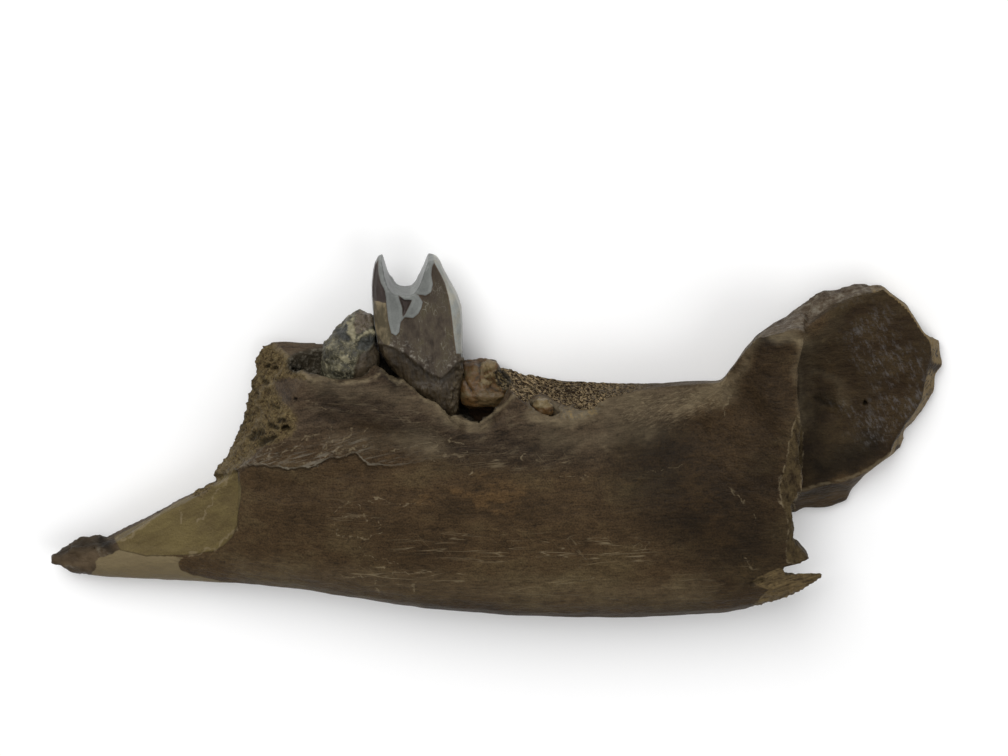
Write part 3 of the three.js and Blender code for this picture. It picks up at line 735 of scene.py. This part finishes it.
def scratched(paint, sets):  # fine lines: size, stretch, turn, width and bend of each set
    lines = None
    for size, long, turn, width, bend in sets:
        field = paint.cloud(size, 1, long=long, turn=turn, warp=bend)
        one = abs(field - 0.5).step(width, 0.0)
        lines = one if lines is None else lines.most(one)
    return lines


def paintBone():
    paint = Paint("fossilBone", bone)
    broad = paint.cloud(22, 2, long=1.6)
    middle = paint.cloud(6, 3, long=1.8, turn=6, rough=0.62)
    small = paint.cloud(1.6, 4, long=1.5, turn=-10, rough=0.7)
    grain = paint.cloud(0.45, 3, long=6, turn=4, warp=0.5)
    speckle = paint.cloud(0.32, 1)
    crumbs = paint.cloud(1.1, 4, rough=0.7)
    paint.ragged = (paint.cloud(1.3, 2) - 0.5) * 1.6
    upper = paint.mask("upper") + (broad - 0.5) * 22

    # Brown in clouds, with plum over the upper half and rust in places.
    clouded = broad * 0.45 + middle * 0.35 + small * 0.2
    paint.colour = paint.colours(clouded, dark=0.34, brown=0.5, olive=0.66)
    paint.coat(upper.step(-3, 5) * (0.35 + middle * 0.7), "plum")
    rust = (paint.mask("rust") + (small - 0.5) * 1.2) * middle.step(0.35, 0.6)
    paint.coat(rust.step(0.1, 0.7) * 0.6, "orange")
    # Darkened by tone: partly the bone's own patches, partly painted shade.
    tone = paint.mask("tone").most(0.2)
    mottle = (grain * 1.1 + small * 0.8 + speckle * 1.5 - 0.7).most(0.12)
    paint.shade(tone * mottle)

    # Painted highlight on the shelf before the ramus, in pale streaks along its fibres.
    shelf = (paint.mask("shelf") + (middle - 0.5) * 5).step(-1.5, 2.5)
    rising = paint.cloud(0.35, 3, long=5, turn=28, rough=0.7, warp=0.8)
    paint.coat(shelf * rising.step(0.45, 0.75) * 0.6, "pale")

    # Flecks over the upper half.
    flecks = paint.cloud(1.5, 4, long=2.6, turn=14, rough=0.75)
    inUpper = upper.step(-4, 4) * (1 - shelf)
    paint.coat(inUpper * flecks.step(0.52, 0.72) * 0.2, "pale")
    paint.shade(1 - inUpper * flecks.step(0.5, 0.34) * 0.45)

    # Scratches and fine pale lines, most along the bone, and dark cracks over its upper half.
    patchy = paint.cloud(2.6, 2, long=1.5)
    streaks = paint.cloud(1.1, 2, long=8, turn=-2)
    along = scratched(paint, [(1.5, 16, -2, 0.022, 0.2), (2.1, 12, 5, 0.015, 0.3)])
    across = scratched(paint, [(3.0, 12, -48, 0.006, 0.5)])
    looping = scratched(paint, [(2.8, 1.8, 15, 0.007, 1.4)])
    worn = (paint.mask("worn") + (broad - 0.4) * 0.8).step(0.0, 0.9)
    scratches = along * streaks.step(0.46, 0.56)
    scratches = scratches.most(across.most(looping) * patchy.step(0.45, 0.6) * 0.6) * worn * 0.65
    # Fine pale lines: scratches and cracks, and one painted highlight on the ramus's front edge.
    fineLines = paint.mask("fineLines").step(1.0, 0.2)
    paint.coat(scratches.most(fineLines * small.step(0.36, 0.6) * 0.55), "pale")
    cracks = scratched(paint, [(3.4, 4, 12, 0.014, 1.2)]) * patchy.step(0.5, 0.36) * upper.step(-2, 6)
    paint.shade(1 - cracks * 0.6)

    # The thin ramus.
    plate = paint.mask("plate").step(-0.4, 0.6)
    plateColour = paint.colours(middle * 0.6 + small * 0.4, plate=0.4, plateOlive=0.62)
    plateColour = paint.dim(plateColour, tone * (0.3 + speckle * 0.7 + grain * 0.7))
    paint.coat(plate * 0.85, plateColour)
    paint.coat(plate * rust.step(0.1, 0.8) * 0.3, "orange")
    glints = (paint.mask("glints") + (middle - 0.5) * 1.4).step(0.1, 0.9)
    sheen = paint.cloud(0.9, 4, long=2.2, turn=-62, rough=0.75)
    glints = glints * (sheen * 0.8 + middle * 0.2).step(0.48, 0.66)
    paint.coat(plate * glints * 0.55, "glint")
    chipped = paint.mask("plateEdge").step(0.3, 0.6) * small.step(0.35, 0.5)
    paint.coat(chipped * 0.75, "yellow")
    flange = paint.area("flange", 0.3, 0.45, 0.1) * plate
    paint.coat(flange * 0.4, "pale")

    # Pale and greyish: partly the bone's own colour, partly painted highlight and sheen.
    bleached = (paint.mask("bleached") * (small * 1.6 + grain * 1.4 - 0.5)).most(0.0)
    paint.coat(bleached.least(0.7), "pale")

    # The pale scar and band in front, and the dark tip.
    tip = paint.area("tip", 0.5, -0.15, 0.2)
    scar = paint.area("scar", 0.12, -0.1, 0.12)
    band = paint.area("lowBand", 0.35, -0.15, 0.2)
    sloping = paint.cloud(1.1, 3, long=7, turn=28, warp=0.6)
    khaki = paint.colours(sloping * 0.5 + middle * 0.5, khakiDark=0.36, khaki=0.62)
    khaki = paint.dim(khaki, 0.75 + speckle * 0.5)
    paint.coat(scar.most(band), khaki)
    paint.coat(band * (1 - scar) * 0.6, "band")
    paint.coat(fineLines * scar * 0.5, "pale")
    # Darker along the edge of the scar, where it steps down.
    scarEdgeDark = abs(paint.uneven("scar", 0.1) - 0.05).step(0.22, 0.05)
    paint.shade(1 - scarEdgeDark * 0.25)
    # The tip's colour: its pale specks are partly painted glints on its rough top.
    tipColourAndGlints = paint.colours(small * 0.6 + middle * 0.4, tipDark=0.36, tip=0.55, greyWhite=0.85)
    paint.coat(tip, paint.dim(tipColourAndGlints, tone))

    # Broken and spongy places.
    broken = paint.area("frontBreak", 0.9, -0.2, 0.5)
    fibres = paint.cloud(0.5, 3, long=4.5, turn=62, warp=0.5)
    bits = paint.cloud(0.6, 3, rough=0.72)
    crumbled = bits * 0.4 + fibres * 0.3 + crumbs * 0.3
    breakColour = paint.colours(crumbled, breakDark=0.4, broken=0.5, breakPale=0.63)
    paint.coat(broken, paint.dim(breakColour, tone * (0.3 + speckle * 1.4)))
    # A pale ridge along the break's edge, and a painted highlight on the septum between the sockets.
    ridge = paint.area("breakEdge", 0.4, 0.5, 0.0) * broken
    septum = paint.area("septum", 0.5, 0.9, 0.0) * small.step(0.3, 0.6)
    paint.coat((ridge * 0.4).most(septum * 0.5), "pale")

    # The step, its branches and the rims, worn and with a painted highlight on their lips.
    share = paint.mask("stepShare")
    stepGap = paint.uneven("stepLine", 0.45)
    patchy = patchy.step(0.34, 0.6)
    # A pale line along the step: the outer layer's broken edge, with a painted highlight where it faces the
    # light.
    stepEdgeHighlight = abs(stepGap + 0.2).step(0.3, 0.0) * patchy
    fan = paint.cloud(0.5, 2, long=12, turn=17, warp=0.5).step(0.48, 0.7)
    fan = fan * stepGap.step(-5.5, -0.6) * stepGap.step(0.2, -0.2)
    branches = paint.area("branches", 0.3, 0.25, 0.0) * small.step(0.4, 0.62)
    paleLines = (stepEdgeHighlight * 0.6).most(fan * 0.42) * share
    paint.coat(paleLines.most(branches * 0.4), "greyWhite")
    # Painted shadow just under the step.
    stepShadow = abs(stepGap - 0.3).step(0.4, 0.05) * share
    paint.shade(1 - stepShadow * 0.35)
    # Pale rims: partly wear, partly painted highlight.
    rims = paint.area("rims", 0.5, 0.8, 0.0) * small.step(0.3, 0.6)
    paint.coat(rims * 0.55, "pale")

    # The sponge, the buried tooth's surround, the ramus's crest, the back break and the sockets.
    inSponge = paint.area("spongy", 0.3, -0.05, 0.3)
    fade = paint.mask("spongyFade").step(18, 0)
    struts = paint.cloud(0.4, 2, long=3.2, wide=0.75, turn=-36, rough=0.65, warp=0.9)
    holes = struts.step(0.56, 0.44)
    # Dark holes: painted shade in the pores.
    spongeColour = paint.blend(holes, "sponge", "spongeDeep")
    spongeColour = paint.blend(fade, "brown", spongeColour)
    strength = inSponge * (0.2 + fade * 0.8)
    paint.coat(strength, paint.dim(spongeColour, middle * 1.9))

    bud = paint.area("budPatch", 0.5, -0.3, 0.7)
    paint.coat(bud * 0.7, paint.colours(crumbs, olive=0.38, blueGrey=0.5, yellow=0.66))

    # The crest's rough grey-white: partly its own colour, partly painted glints on its top, which faces the
    # light.
    crest = paint.area("crest", 0.5, -0.1, 0.5)
    crestColourAndGlints = paint.colours(small * 0.6 + crumbs * 0.4, dark=0.36, crest=0.5, greyWhite=0.64)
    paint.coat(crest * 0.75, crestColourAndGlints)
    back = paint.area("backBreak", 0.5, -0.1, 0.25)
    splinter = paint.area("splinter", 0.5, -0.1, 0.3)
    grainy = paint.cloud(1.3, 4, wide=2, turn=12, rough=0.7)
    shreds = paint.cloud(0.45, 2, long=6, turn=22)
    backStops = {"breakDark": 0.34, "broken": 0.55, "yellow": 0.9}
    paint.coat(back * 0.9, paint.dim(paint.colours(grainy, **backStops), 0.6))
    shredColour = paint.colours(shreds * 0.5 + small * 0.5, **backStops)
    paint.coat(splinter * 0.9, paint.dim(shredColour, 1.1))
    edges = abs(paint.uneven("backBreak", 0.5)).step(0.25, 0.0) * small.step(0.4, 0.6)
    paint.coat(edges * 0.5, "pale")

    socket = paint.mask("socket").step(-0.3, 0.4)
    socketColour = paint.colours(crumbs, socket=0.48, greyWhite=0.8)
    paint.coat(socket * 0.95, paint.dim(socketColour, tone))

    paint.shade(1 - paint.mask("pitShade") * 0.7)

    height = (grain - 0.5) * 0.16 + (small - 0.5) * 0.4 + (middle - 0.5) * 0.5 + (speckle - 0.5) * 0.06
    height = height + broken * ((crumbs - 0.5) * 1.2 + (fibres - 0.5) * 0.6)
    height = height + (crest * 0.4 + socket * 0.5 + back * 0.8) * (crumbs - 0.5)
    height = height - strength * holes * 0.4 + splinter * (shreds - 0.5) * 0.5
    roughness = 0.55 + (middle - 0.5) * 0.25
    return paint.finish(roughness, height, 0.08)


# The whole molar, its crown split down the outer side so that the enamel shows as a rim.
molar = {
    "grid": 0.23,
    "smoothing": 3,
    "frontEnamel": [
        (377.5, 250), (389, 250), (390, 262), (393, 275), (396, 278), (402, 279), (414, 279),
        (414, 292), (419, 295.5), (423, 301.6), (421.8, 307.5), (418.8, 313.4), (413, 318.2),
        (405, 317), (401, 322), (399.5, 332), (396, 336), (391, 333), (388, 320), (386.4, 303),
        (385, 291), (381, 283), (378.7, 273), (378, 264),
    ],
    "darkWedge": [
        (398.5, 295.2), (404, 299.8), (411.8, 299.9), (409.5, 305), (405.8, 312.3), (402.8, 317),
        (402.6, 308),
    ],
    "valleyEnamel": [
        (408, 280), (419, 268), (423, 250), (434, 250), (434.5, 262.5), (432, 267), (431.3, 275),
        (433, 284), (431.3, 292), (426, 295.7), (419, 294.5), (413, 292.2),
    ],
    "rearEnamel": [
        (433, 248), (450, 250), (460, 280), (466, 300), (474, 315), (474, 353), (456, 354),
        (454.3, 341.8), (452.5, 327.6), (450.7, 311), (448.4, 297), (445, 284), (440, 273.3),
        (434.2, 263),
    ],
    "darkStripe": [
        (364, 262), (375, 259), (377.4, 265.6), (378.7, 276.9), (381.1, 282.8), (384, 288.7),
        (386.4, 298.1), (385.8, 301.6), (382.3, 302.8), (375, 300.5), (366, 290),
    ],
    "yellowStrip": [
        (368, 301), (378.7, 301), (382.3, 302.8), (386, 302.8), (387.5, 311), (389.5, 321.7),
        (391, 332.3), (390, 345.3), (384.6, 345), (376, 333),
    ],
    "crownEnd": [
        (370, 342), (386, 344), (396, 348), (407, 354), (419, 364), (431, 374), (441, 377),
        (450, 370), (458, 361), (472, 352),
    ],
    "rootEdge": [(462, 355), (459, 372), (456, 385), (453, 398), (455, 409)],
    "rootStart": 366,  # how far down the picture the root is smoothed from
}
tooth = {
    "enamel": (0.225, 0.232, 0.215),
    "enamelBlue": (0.125, 0.130, 0.122),
    "enamelWarm": (0.250, 0.240, 0.200),
    "dentine": (0.058, 0.044, 0.030),
    "dentineDark": (0.030, 0.021, 0.014),
    "dentineGreen": (0.066, 0.053, 0.030),
    "wedge": (0.033, 0.024, 0.020),
    "yellow": (0.170, 0.135, 0.080),
    "root": (0.018, 0.012, 0.006),
    "rootBrown": (0.039, 0.027, 0.0135),
    "rootPale": (0.075, 0.056, 0.030),
    "white": (0.260, 0.240, 0.200),
    "rust": (0.070, 0.040, 0.020),
}


def makeMolar():
    piece = evenCopy("tooth_molar", "molar", molar)
    smoothPart(piece, onPicture(places(piece))[:, 1] > molar["rootStart"], 110)
    form = Form(piece, molar)
    wedge, stripe, strip = [form.inside(name) for name in ("darkWedge", "darkStripe", "yellowStrip")]
    rootGap, rootSide = toLine(form.seen, molar["crownEnd"])
    root = rootGap * rootSide
    rootEdge = form.gap("rootEdge")
    enamel = np.minimum(form.inside("frontEnamel", "valleyEnamel", "rearEnamel"), -wedge)
    enamel = np.maximum(enamel, (0.35 - form.toCamera) * 4)  # all of it where the camera can't see
    enamel = np.minimum(enamel, -root)

    flat = ramp(form.face[:, 2], 0.6, 0.9)
    push = 0.05 * form.lumps(2.5)
    push += flat * (0.2 * ramp(enamel, -0.15, 0.1) - 0.1 * ramp(enamel, 0, -1.5))
    push -= 0.45 * ramp(wedge, -0.05, 0.35) * flat
    push -= 0.18 * ramp(stripe, -0.1, 0.2) * ramp(form.toCamera, 0.2, 0.5)
    grooves = form.lumps(1.5, 3, (0.7, 5, 0.7))
    push += ramp(root, -0.2, 0.6) * (0.3 * grooves + 0.12 * form.lumps(0.8))
    push += 0.05 * ramp(np.abs(root + 0.1 * grooves), 0.4, 0.05)
    push -= 0.12 * ramp(np.abs(root - 0.7), 0.6, 0.1)
    push += 0.6 * ramp(rootEdge, 1.1, 0.2) * form.lumps(1.1)
    move(piece, form.pushed(push))
    form.keep(enamel=enamel, rear=form.inside("rearEnamel"), wedge=wedge, stripe=stripe, strip=strip)
    form.keep(root=root, rootEdge=rootEdge, height=form.at[:, 1] / mm)
    return piece


def paintMolar():
    paint = Paint("splitMolar", tooth)
    paint.ragged = (paint.cloud(0.8, 3) - 0.5) * 1.2
    broad = paint.cloud(3.2, 4, wide=1.6, rough=0.62)
    streaks = paint.cloud(0.7, 4, long=5, turn=96, warp=0.8)
    speckle = paint.cloud(0.35, 3)
    clouded = broad * 0.8 + streaks * 0.2
    paint.colour = paint.colours(clouded, dentineDark=0.38, dentine=0.5, dentineGreen=0.64)
    paint.coat(paint.mask("height").step(27, 35) * 0.6, "dentineDark")
    paint.shade(0.55 + streaks * 0.3 + speckle * 0.5)
    hairs = scratched(paint, [(1.6, 5, 100, 0.012, 1.4), (1.8, 3, 60, 0.008, 1.6)])
    hairs = hairs * broad.step(0.5, 0.6)
    paint.coat(hairs * 0.45, "white")

    rootGap = paint.uneven("root", 0.6)
    root = rootGap.step(-0.1, 0.25)
    rootColour = paint.colours((broad + streaks) * 0.5, root=0.36, rootBrown=0.56, rootPale=0.72)
    paint.coat(root, paint.dim(rootColour, 0.4 + speckle))
    # Painted shadow on the root just under the crown's edge.
    crownEdgeShadow = abs(rootGap - 0.7).step(0.9, 0.1)
    paint.shade(1 - crownEdgeShadow * 0.35)
    fuzz = rootGap.step(-3.5, -0.3) * rootGap.step(0.3, -0.1)
    fuzz = fuzz * paint.cloud(0.9, 4, rough=0.7).step(0.5, 0.66)
    paint.coat(fuzz * 0.5, "white")
    edge = paint.area("rootEdge", 1, 1.0, 0.1) * paint.cloud(0.9, 3).step(0.42, 0.6)
    paint.coat(edge * 0.7, "rootPale")

    strip = paint.area("strip", 0.15, -0.06, 0.1)
    yellow = paint.blend(broad.step(0.42, 0.6), "yellow", "dentineGreen")
    paint.coat(strip, yellow)
    inEnamel = paint.area("enamel", 0.1, -0.06, 0.1)
    rear = paint.area("rear", 0.3, -0.3, 0.3)
    white = paint.blend(paint.cloud(2.2, 3).step(0.4, 0.66), "enamel", "enamelWarm")
    white = paint.blend(rear, "enamelBlue", white)
    # A painted highlight just inside the outer edge of the front enamel.
    outer = abs(paint.mask("enamel") - 0.45).step(0.4, 0.1) * (1 - rear)
    white = paint.dim(white, (0.28 + speckle * 0.4 + broad * 1.05) * (1 + outer * 0.16))
    paint.coat(inEnamel, white)
    rim = abs(paint.mask("enamel") + 0.06).step(0.2, 0.0)
    paint.coat(rim * 0.5, "rust")
    wedge = paint.mask("wedge").step(-0.05, 0.08)
    stripe = paint.area("stripe", 0.15, -0.08, 0.12)
    darkColour = paint.dim("wedge", 0.5 + streaks)
    paint.coat(wedge.most(stripe), darkColour)

    height = (speckle - 0.5) * 0.05 + (streaks - 0.5) * (1 - inEnamel) * 0.2 + inEnamel * 0.06
    roughness = 0.5 - inEnamel * 0.2 + (speckle - 0.5) * 0.1
    return paint.finish(roughness, height, 0.25)


# The worn stump in front of it: lumpy, mottled pale, greenish and black over a brown root.
frontStump = {
    "grid": 0.24,
    "smoothing": 2,
    "mostPush": (-0.8, 0.35),  # inward and outward, in millimetres
    "black": [
        [(334, 329), (345, 322), (349, 325), (346, 332), (352, 336), (349, 343), (338, 338)],
        [(356, 342), (362, 336), (371, 333), (378, 337), (374, 345), (366, 352), (357, 350)],
    ],
    "brownTop": [
        (353, 326), (355, 314), (361, 309), (374, 309), (376, 322), (370, 328), (361, 333),
        (356, 334),
    ],
    "paleRidge": [
        [(345, 322), (352, 320), (356, 330), (357, 340), (352, 341), (346, 332)],
        [(357, 338), (364, 331), (372, 328), (378, 334), (370, 334), (362, 337), (358, 343)],
        [(337, 356), (348, 354), (352, 362), (346, 364)],
    ],
    "brownRoot": [
        (353, 385), (354, 368), (360, 354), (370, 350), (376, 340), (390, 340), (386, 362),
        (368, 385),
    ],
}
mottled = {
    "green": (0.062, 0.056, 0.034),
    "greenDark": (0.026, 0.023, 0.014),
    "cream": (0.255, 0.228, 0.142),
    "black": (0.022, 0.023, 0.020),
    "brown": (0.066, 0.048, 0.028),
    "violet": (0.138, 0.110, 0.086),
    "root": (0.034, 0.025, 0.014),
}


def deepest(seen, outlines):
    return np.max([within(seen, outline) for outline in outlines], axis=0)


def makeFrontStump():
    piece = evenCopy("tooth_front_stump", "frontStump", frontStump)
    form = Form(piece, frontStump)
    pale, black = [deepest(form.seen, frontStump[name]) for name in ("paleRidge", "black")]
    root = form.inside("brownRoot")
    crown = 1 - ramp(root, -0.2, 0.6)
    push = crown * (0.5 * form.lumps(2.4, 4) + 0.6 * knobs(form.at, 2.4)) - 0.3 * (1 - crown)
    push += 0.1 * form.lumps(0.9) + 0.25 * ramp(pale, -0.1, 0.5) - 0.2 * ramp(black, -0.1, 0.5)
    move(piece, form.pushed(np.clip(push, *frontStump["mostPush"])))
    form.keep(pale=pale, black=black, top=form.inside("brownTop"), root=root)
    return piece


def paintFrontStump():
    paint = Paint("mottledStump", mottled)
    paint.ragged = (paint.cloud(0.9, 4) - 0.5) * 1.8
    middle = paint.cloud(1.8, 5, rough=0.62)
    speckle = paint.cloud(0.4, 4, rough=0.65)
    paint.colour = paint.colours(middle, greenDark=0.38, green=0.52, cream=0.7)
    top = paint.area("top", 0.6, -0.2, 0.3)
    topColour = paint.colours(middle, brown=0.45, violet=0.62)
    paint.coat(top, topColour)
    root = paint.area("root", 0.4, -0.2, 0.3)
    fibres = paint.cloud(0.8, 4, wide=5, turn=-30)
    rootColour = paint.colours(fibres, root=0.35, brown=0.65)
    paint.coat(root, rootColour)
    pale = paint.area("pale", 0.6, -0.1, 0.3)
    paint.coat(pale * 0.9, "cream")
    veins = abs(paint.cloud(1.5, 4) - 0.5).step(0.03, 0.0) * (1 - root)
    paint.coat(veins * 0.6, "cream")
    black = paint.area("black", 1.1, -0.15, 0.5)
    dots = paint.cell(1.3).step(0.3, 0.15) * paint.cloud(2.5, 2).step(0.5, 0.6) * (1 - root)
    paint.coat((black * 0.9).most(dots * 0.6), "black")
    paint.shade(0.4 + speckle * 0.9)
    height = (middle - 0.5) * 0.5 + (speckle - 0.5) * 0.12 + veins * 0.08
    roughness = 0.4 + (speckle - 0.5) * 0.5
    return paint.finish(roughness, height, 0.3)


# The stump behind the molar and the tip of a buried tooth: yellow-brown dentine, chipped.
rearStump = {
    "grid": 0.24,
    "smoothing": 2,
    "footBack": 2.0,  # how far its foot reaches backward, and where across and down the picture
    "footAcross": (478, 500),
    "footDown": (372, 390),
    "frontReach": 1.5,  # how far its front side reaches to the molar, and where across
    "frontAcross": (482, 464),
    "facets": [
        [(480, 363), (488, 359), (497, 362), (494, 369), (484, 372)],
        [(482, 376), (494, 371), (500, 367), (502, 371), (496, 377), (486, 378)],
        [(482, 378), (494, 381), (490, 386), (483, 384)],
    ],
    "foot": [(474, 392), (484, 388), (500, 392), (509, 396), (507, 402), (494, 406), (478, 405)],
    "porous": [(493, 372), (500, 366), (512, 366), (514, 390), (505, 391), (497, 386)],
    "shadeFrom": 408,  # how far down the picture painted shade sets in, low in its socket
    "creases": [
        [(479, 362), (480, 374), (481, 380)], [(492, 386), (497, 389), (508, 394)],
        [(460, 366), (463, 378), (471, 392)],
    ],
}
bud = {
    "grid": 0.2,
    "smoothing": 2,
    "foot": (9.4, 7.2, 12.4),  # what it is made smaller about, in millimetres
    "scale": (0.74, 0.74, 0.8),
    "facetFrom": 9.4,  # y that its pale top starts at
}
dentine = {
    "brown": (0.040, 0.026, 0.012),
    "yellow": (0.088, 0.062, 0.028),
    "pale": (0.160, 0.120, 0.058),
    "orange": (0.090, 0.046, 0.015),
    # painted shade in holes and low in the socket
    "deep": (0.012, 0.007, 0.004),
}


def makeRearStump():
    piece = evenCopy("tooth_rear_stump", "rearStump", rearStump)
    form = Form(piece, rearStump)
    across, down = form.seen.T
    atFoot = ramp(across, *rearStump["footAcross"]) * ramp(down, *rearStump["footDown"])
    form.at[:, 0] += rearStump["footBack"] * mm * atFoot
    form.at[:, 0] -= rearStump["frontReach"] * mm * ramp(across, *rearStump["frontAcross"])
    form.seen = onPicture(form.at)
    facets = deepest(form.seen, rearStump["facets"])
    creases = nearest(form.seen, rearStump["creases"])
    foot, porous = form.inside("foot"), form.inside("porous")
    push = 0.35 * form.lumps(2.2) + 0.08 * form.lumps(0.7) - 0.35 * ramp(creases, 0.7, 0.05)
    push += 0.3 * ramp(facets, -0.1, 0.4) + 0.15 * ramp(foot, -0.2, 0.6) - 0.15
    push -= 0.5 * ramp(porous, 0, 0.5) * ramp(cells(form.at, 0.8), 0.1, 0.4)
    move(piece, form.pushed(push))
    deep = (form.seen[:, 1] - rearStump["shadeFrom"]) * pointSize / mm
    form.keep(facet=facets, foot=foot, porous=porous, crease=creases, deep=deep)
    return piece


def makeBud():
    piece = evenCopy("tooth_bud", "toothBud", bud)
    form = Form(piece, bud)
    foot = np.array(bud["foot"]) * mm
    moved = form.pushed(0.35 * form.lumps(1.6))
    move(piece, foot + (moved - foot) * np.array(bud["scale"]))
    nowhere = np.full(len(form.at), -farOff)
    form.keep(facet=(form.at[:, 1] / mm - bud["facetFrom"]) * 0.6)
    form.keep(foot=nowhere, porous=nowhere, crease=-nowhere, deep=nowhere)
    return piece


def paintDentine():
    paint = Paint("chippedDentine", dentine)
    paint.ragged = (paint.cloud(0.8, 3) - 0.5) * 1.2
    broad = paint.cloud(2.2, 5, rough=0.66)
    speckle = paint.cloud(0.35, 3)
    paint.colour = paint.colours(broad, brown=0.38, orange=0.5, yellow=0.64)
    foot = paint.area("foot", 0.8, -0.4, 0.8)
    paint.coat(foot * 0.6, "yellow")
    glints = paint.cloud(0.6, 4, long=2, turn=20, rough=0.7).step(0.55, 0.7)
    paint.coat(foot * glints * 0.6, "pale")
    facet = paint.area("facet", 0.3, -0.1, 0.2)
    paint.coat(facet * (0.3 + broad * 0.8), "pale")
    porous = paint.area("porous", 0.4, -0.1, 0.3)
    holes = paint.cloud(0.5, 2, long=2, turn=-38, rough=0.7, warp=1.2)
    # Its holes dark with painted shade.
    porousColour = paint.colours(holes, deep=0.44, pale=0.6)
    paint.coat(porous, porousColour)
    # Painted shadow in the creases, one of them a real crack.
    creaseShadow = paint.area("crease", 0.3, 0.35, 0.0)
    paint.shade((0.45 + speckle * 0.95) * (1 - creaseShadow * 0.7))
    # Painted shade low in the socket.
    deep = paint.area("deep", 0.5, -0.4, 0.8)
    paint.coat(deep * 0.9, "deep")
    height = (speckle - 0.5) * 0.06 + (broad - 0.5) * 0.4 - porous * holes.step(0.56, 0.44) * 0.3
    roughness = 0.42 + (speckle - 0.5) * 0.2
    return paint.finish(roughness, height, 0.25)


# The pieces.
dentineFinish = paintDentine()
dress(makeJaw(), "jawbone", paintBone())
dress(makeMolar(), "tooth_molar", paintMolar())
dress(makeFrontStump(), "tooth_front_stump", paintFrontStump())
dress(makeRearStump(), "tooth_rear_stump", dentineFinish)
dress(makeBud(), "tooth_bud", dentineFinish)

# The studio: a pale floor, soft light from the teeth's side and above, and the camera.
studio = {
    "floorSize": 6,
    "floor": (0.96, 0.96, 0.96),
    "floorRoughness": 0.9,
    "sky": 0.46,
    "lamps": [  # place, width in metres and watts
        ((-0.25, 0.75, 0.85), 0.7, 11.0),
        ((0.6, -0.3, 0.9), 0.8, 2.5),
    ],
}


def makeStudio():
    bpy.ops.object.select_all(action="DESELECT")
    bpy.ops.mesh.primitive_plane_add(size=studio["floorSize"], location=(0, 0, 0))
    floor = bpy.context.object
    floor.name = "floor"
    matte = bpy.data.materials.new("paleFloor")
    matte.use_nodes = True
    surface = matte.node_tree.nodes["Principled BSDF"].inputs
    surface["Base Color"].default_value = (*studio["floor"], 1)
    surface["Roughness"].default_value = studio["floorRoughness"]
    floor.data.materials.append(matte)
    world = bpy.data.worlds.new("softRoom")
    world.use_nodes = True
    background = world.node_tree.nodes["Background"].inputs
    background["Color"].default_value = (1, 1, 1, 1)
    background["Strength"].default_value = studio["sky"]
    bpy.context.scene.world = world
    for place, width, watts in studio["lamps"]:
        bpy.ops.object.light_add(type="AREA", location=place)
        lamp = bpy.context.object
        lamp.data.size = width
        lamp.data.energy = watts
        aim = -lamp.location
        lamp.rotation_euler = aim.to_track_quat("-Z", "Y").to_euler()


def makeCamera():
    where = np.array(picture["aim"]) + picture["away"] * towardsCamera
    bpy.ops.object.camera_add(location=tuple(where), rotation=(-lean, 0, 0))
    camera = bpy.context.object
    camera.data.lens = picture["lens"]
    camera.data.sensor_width = picture["sensor"]
    camera.data.clip_start = 0.01
    bpy.context.scene.camera = camera


makeStudio()
makeCamera()
bpy.context.scene.view_settings.view_transform = "Standard"
print("studio made")
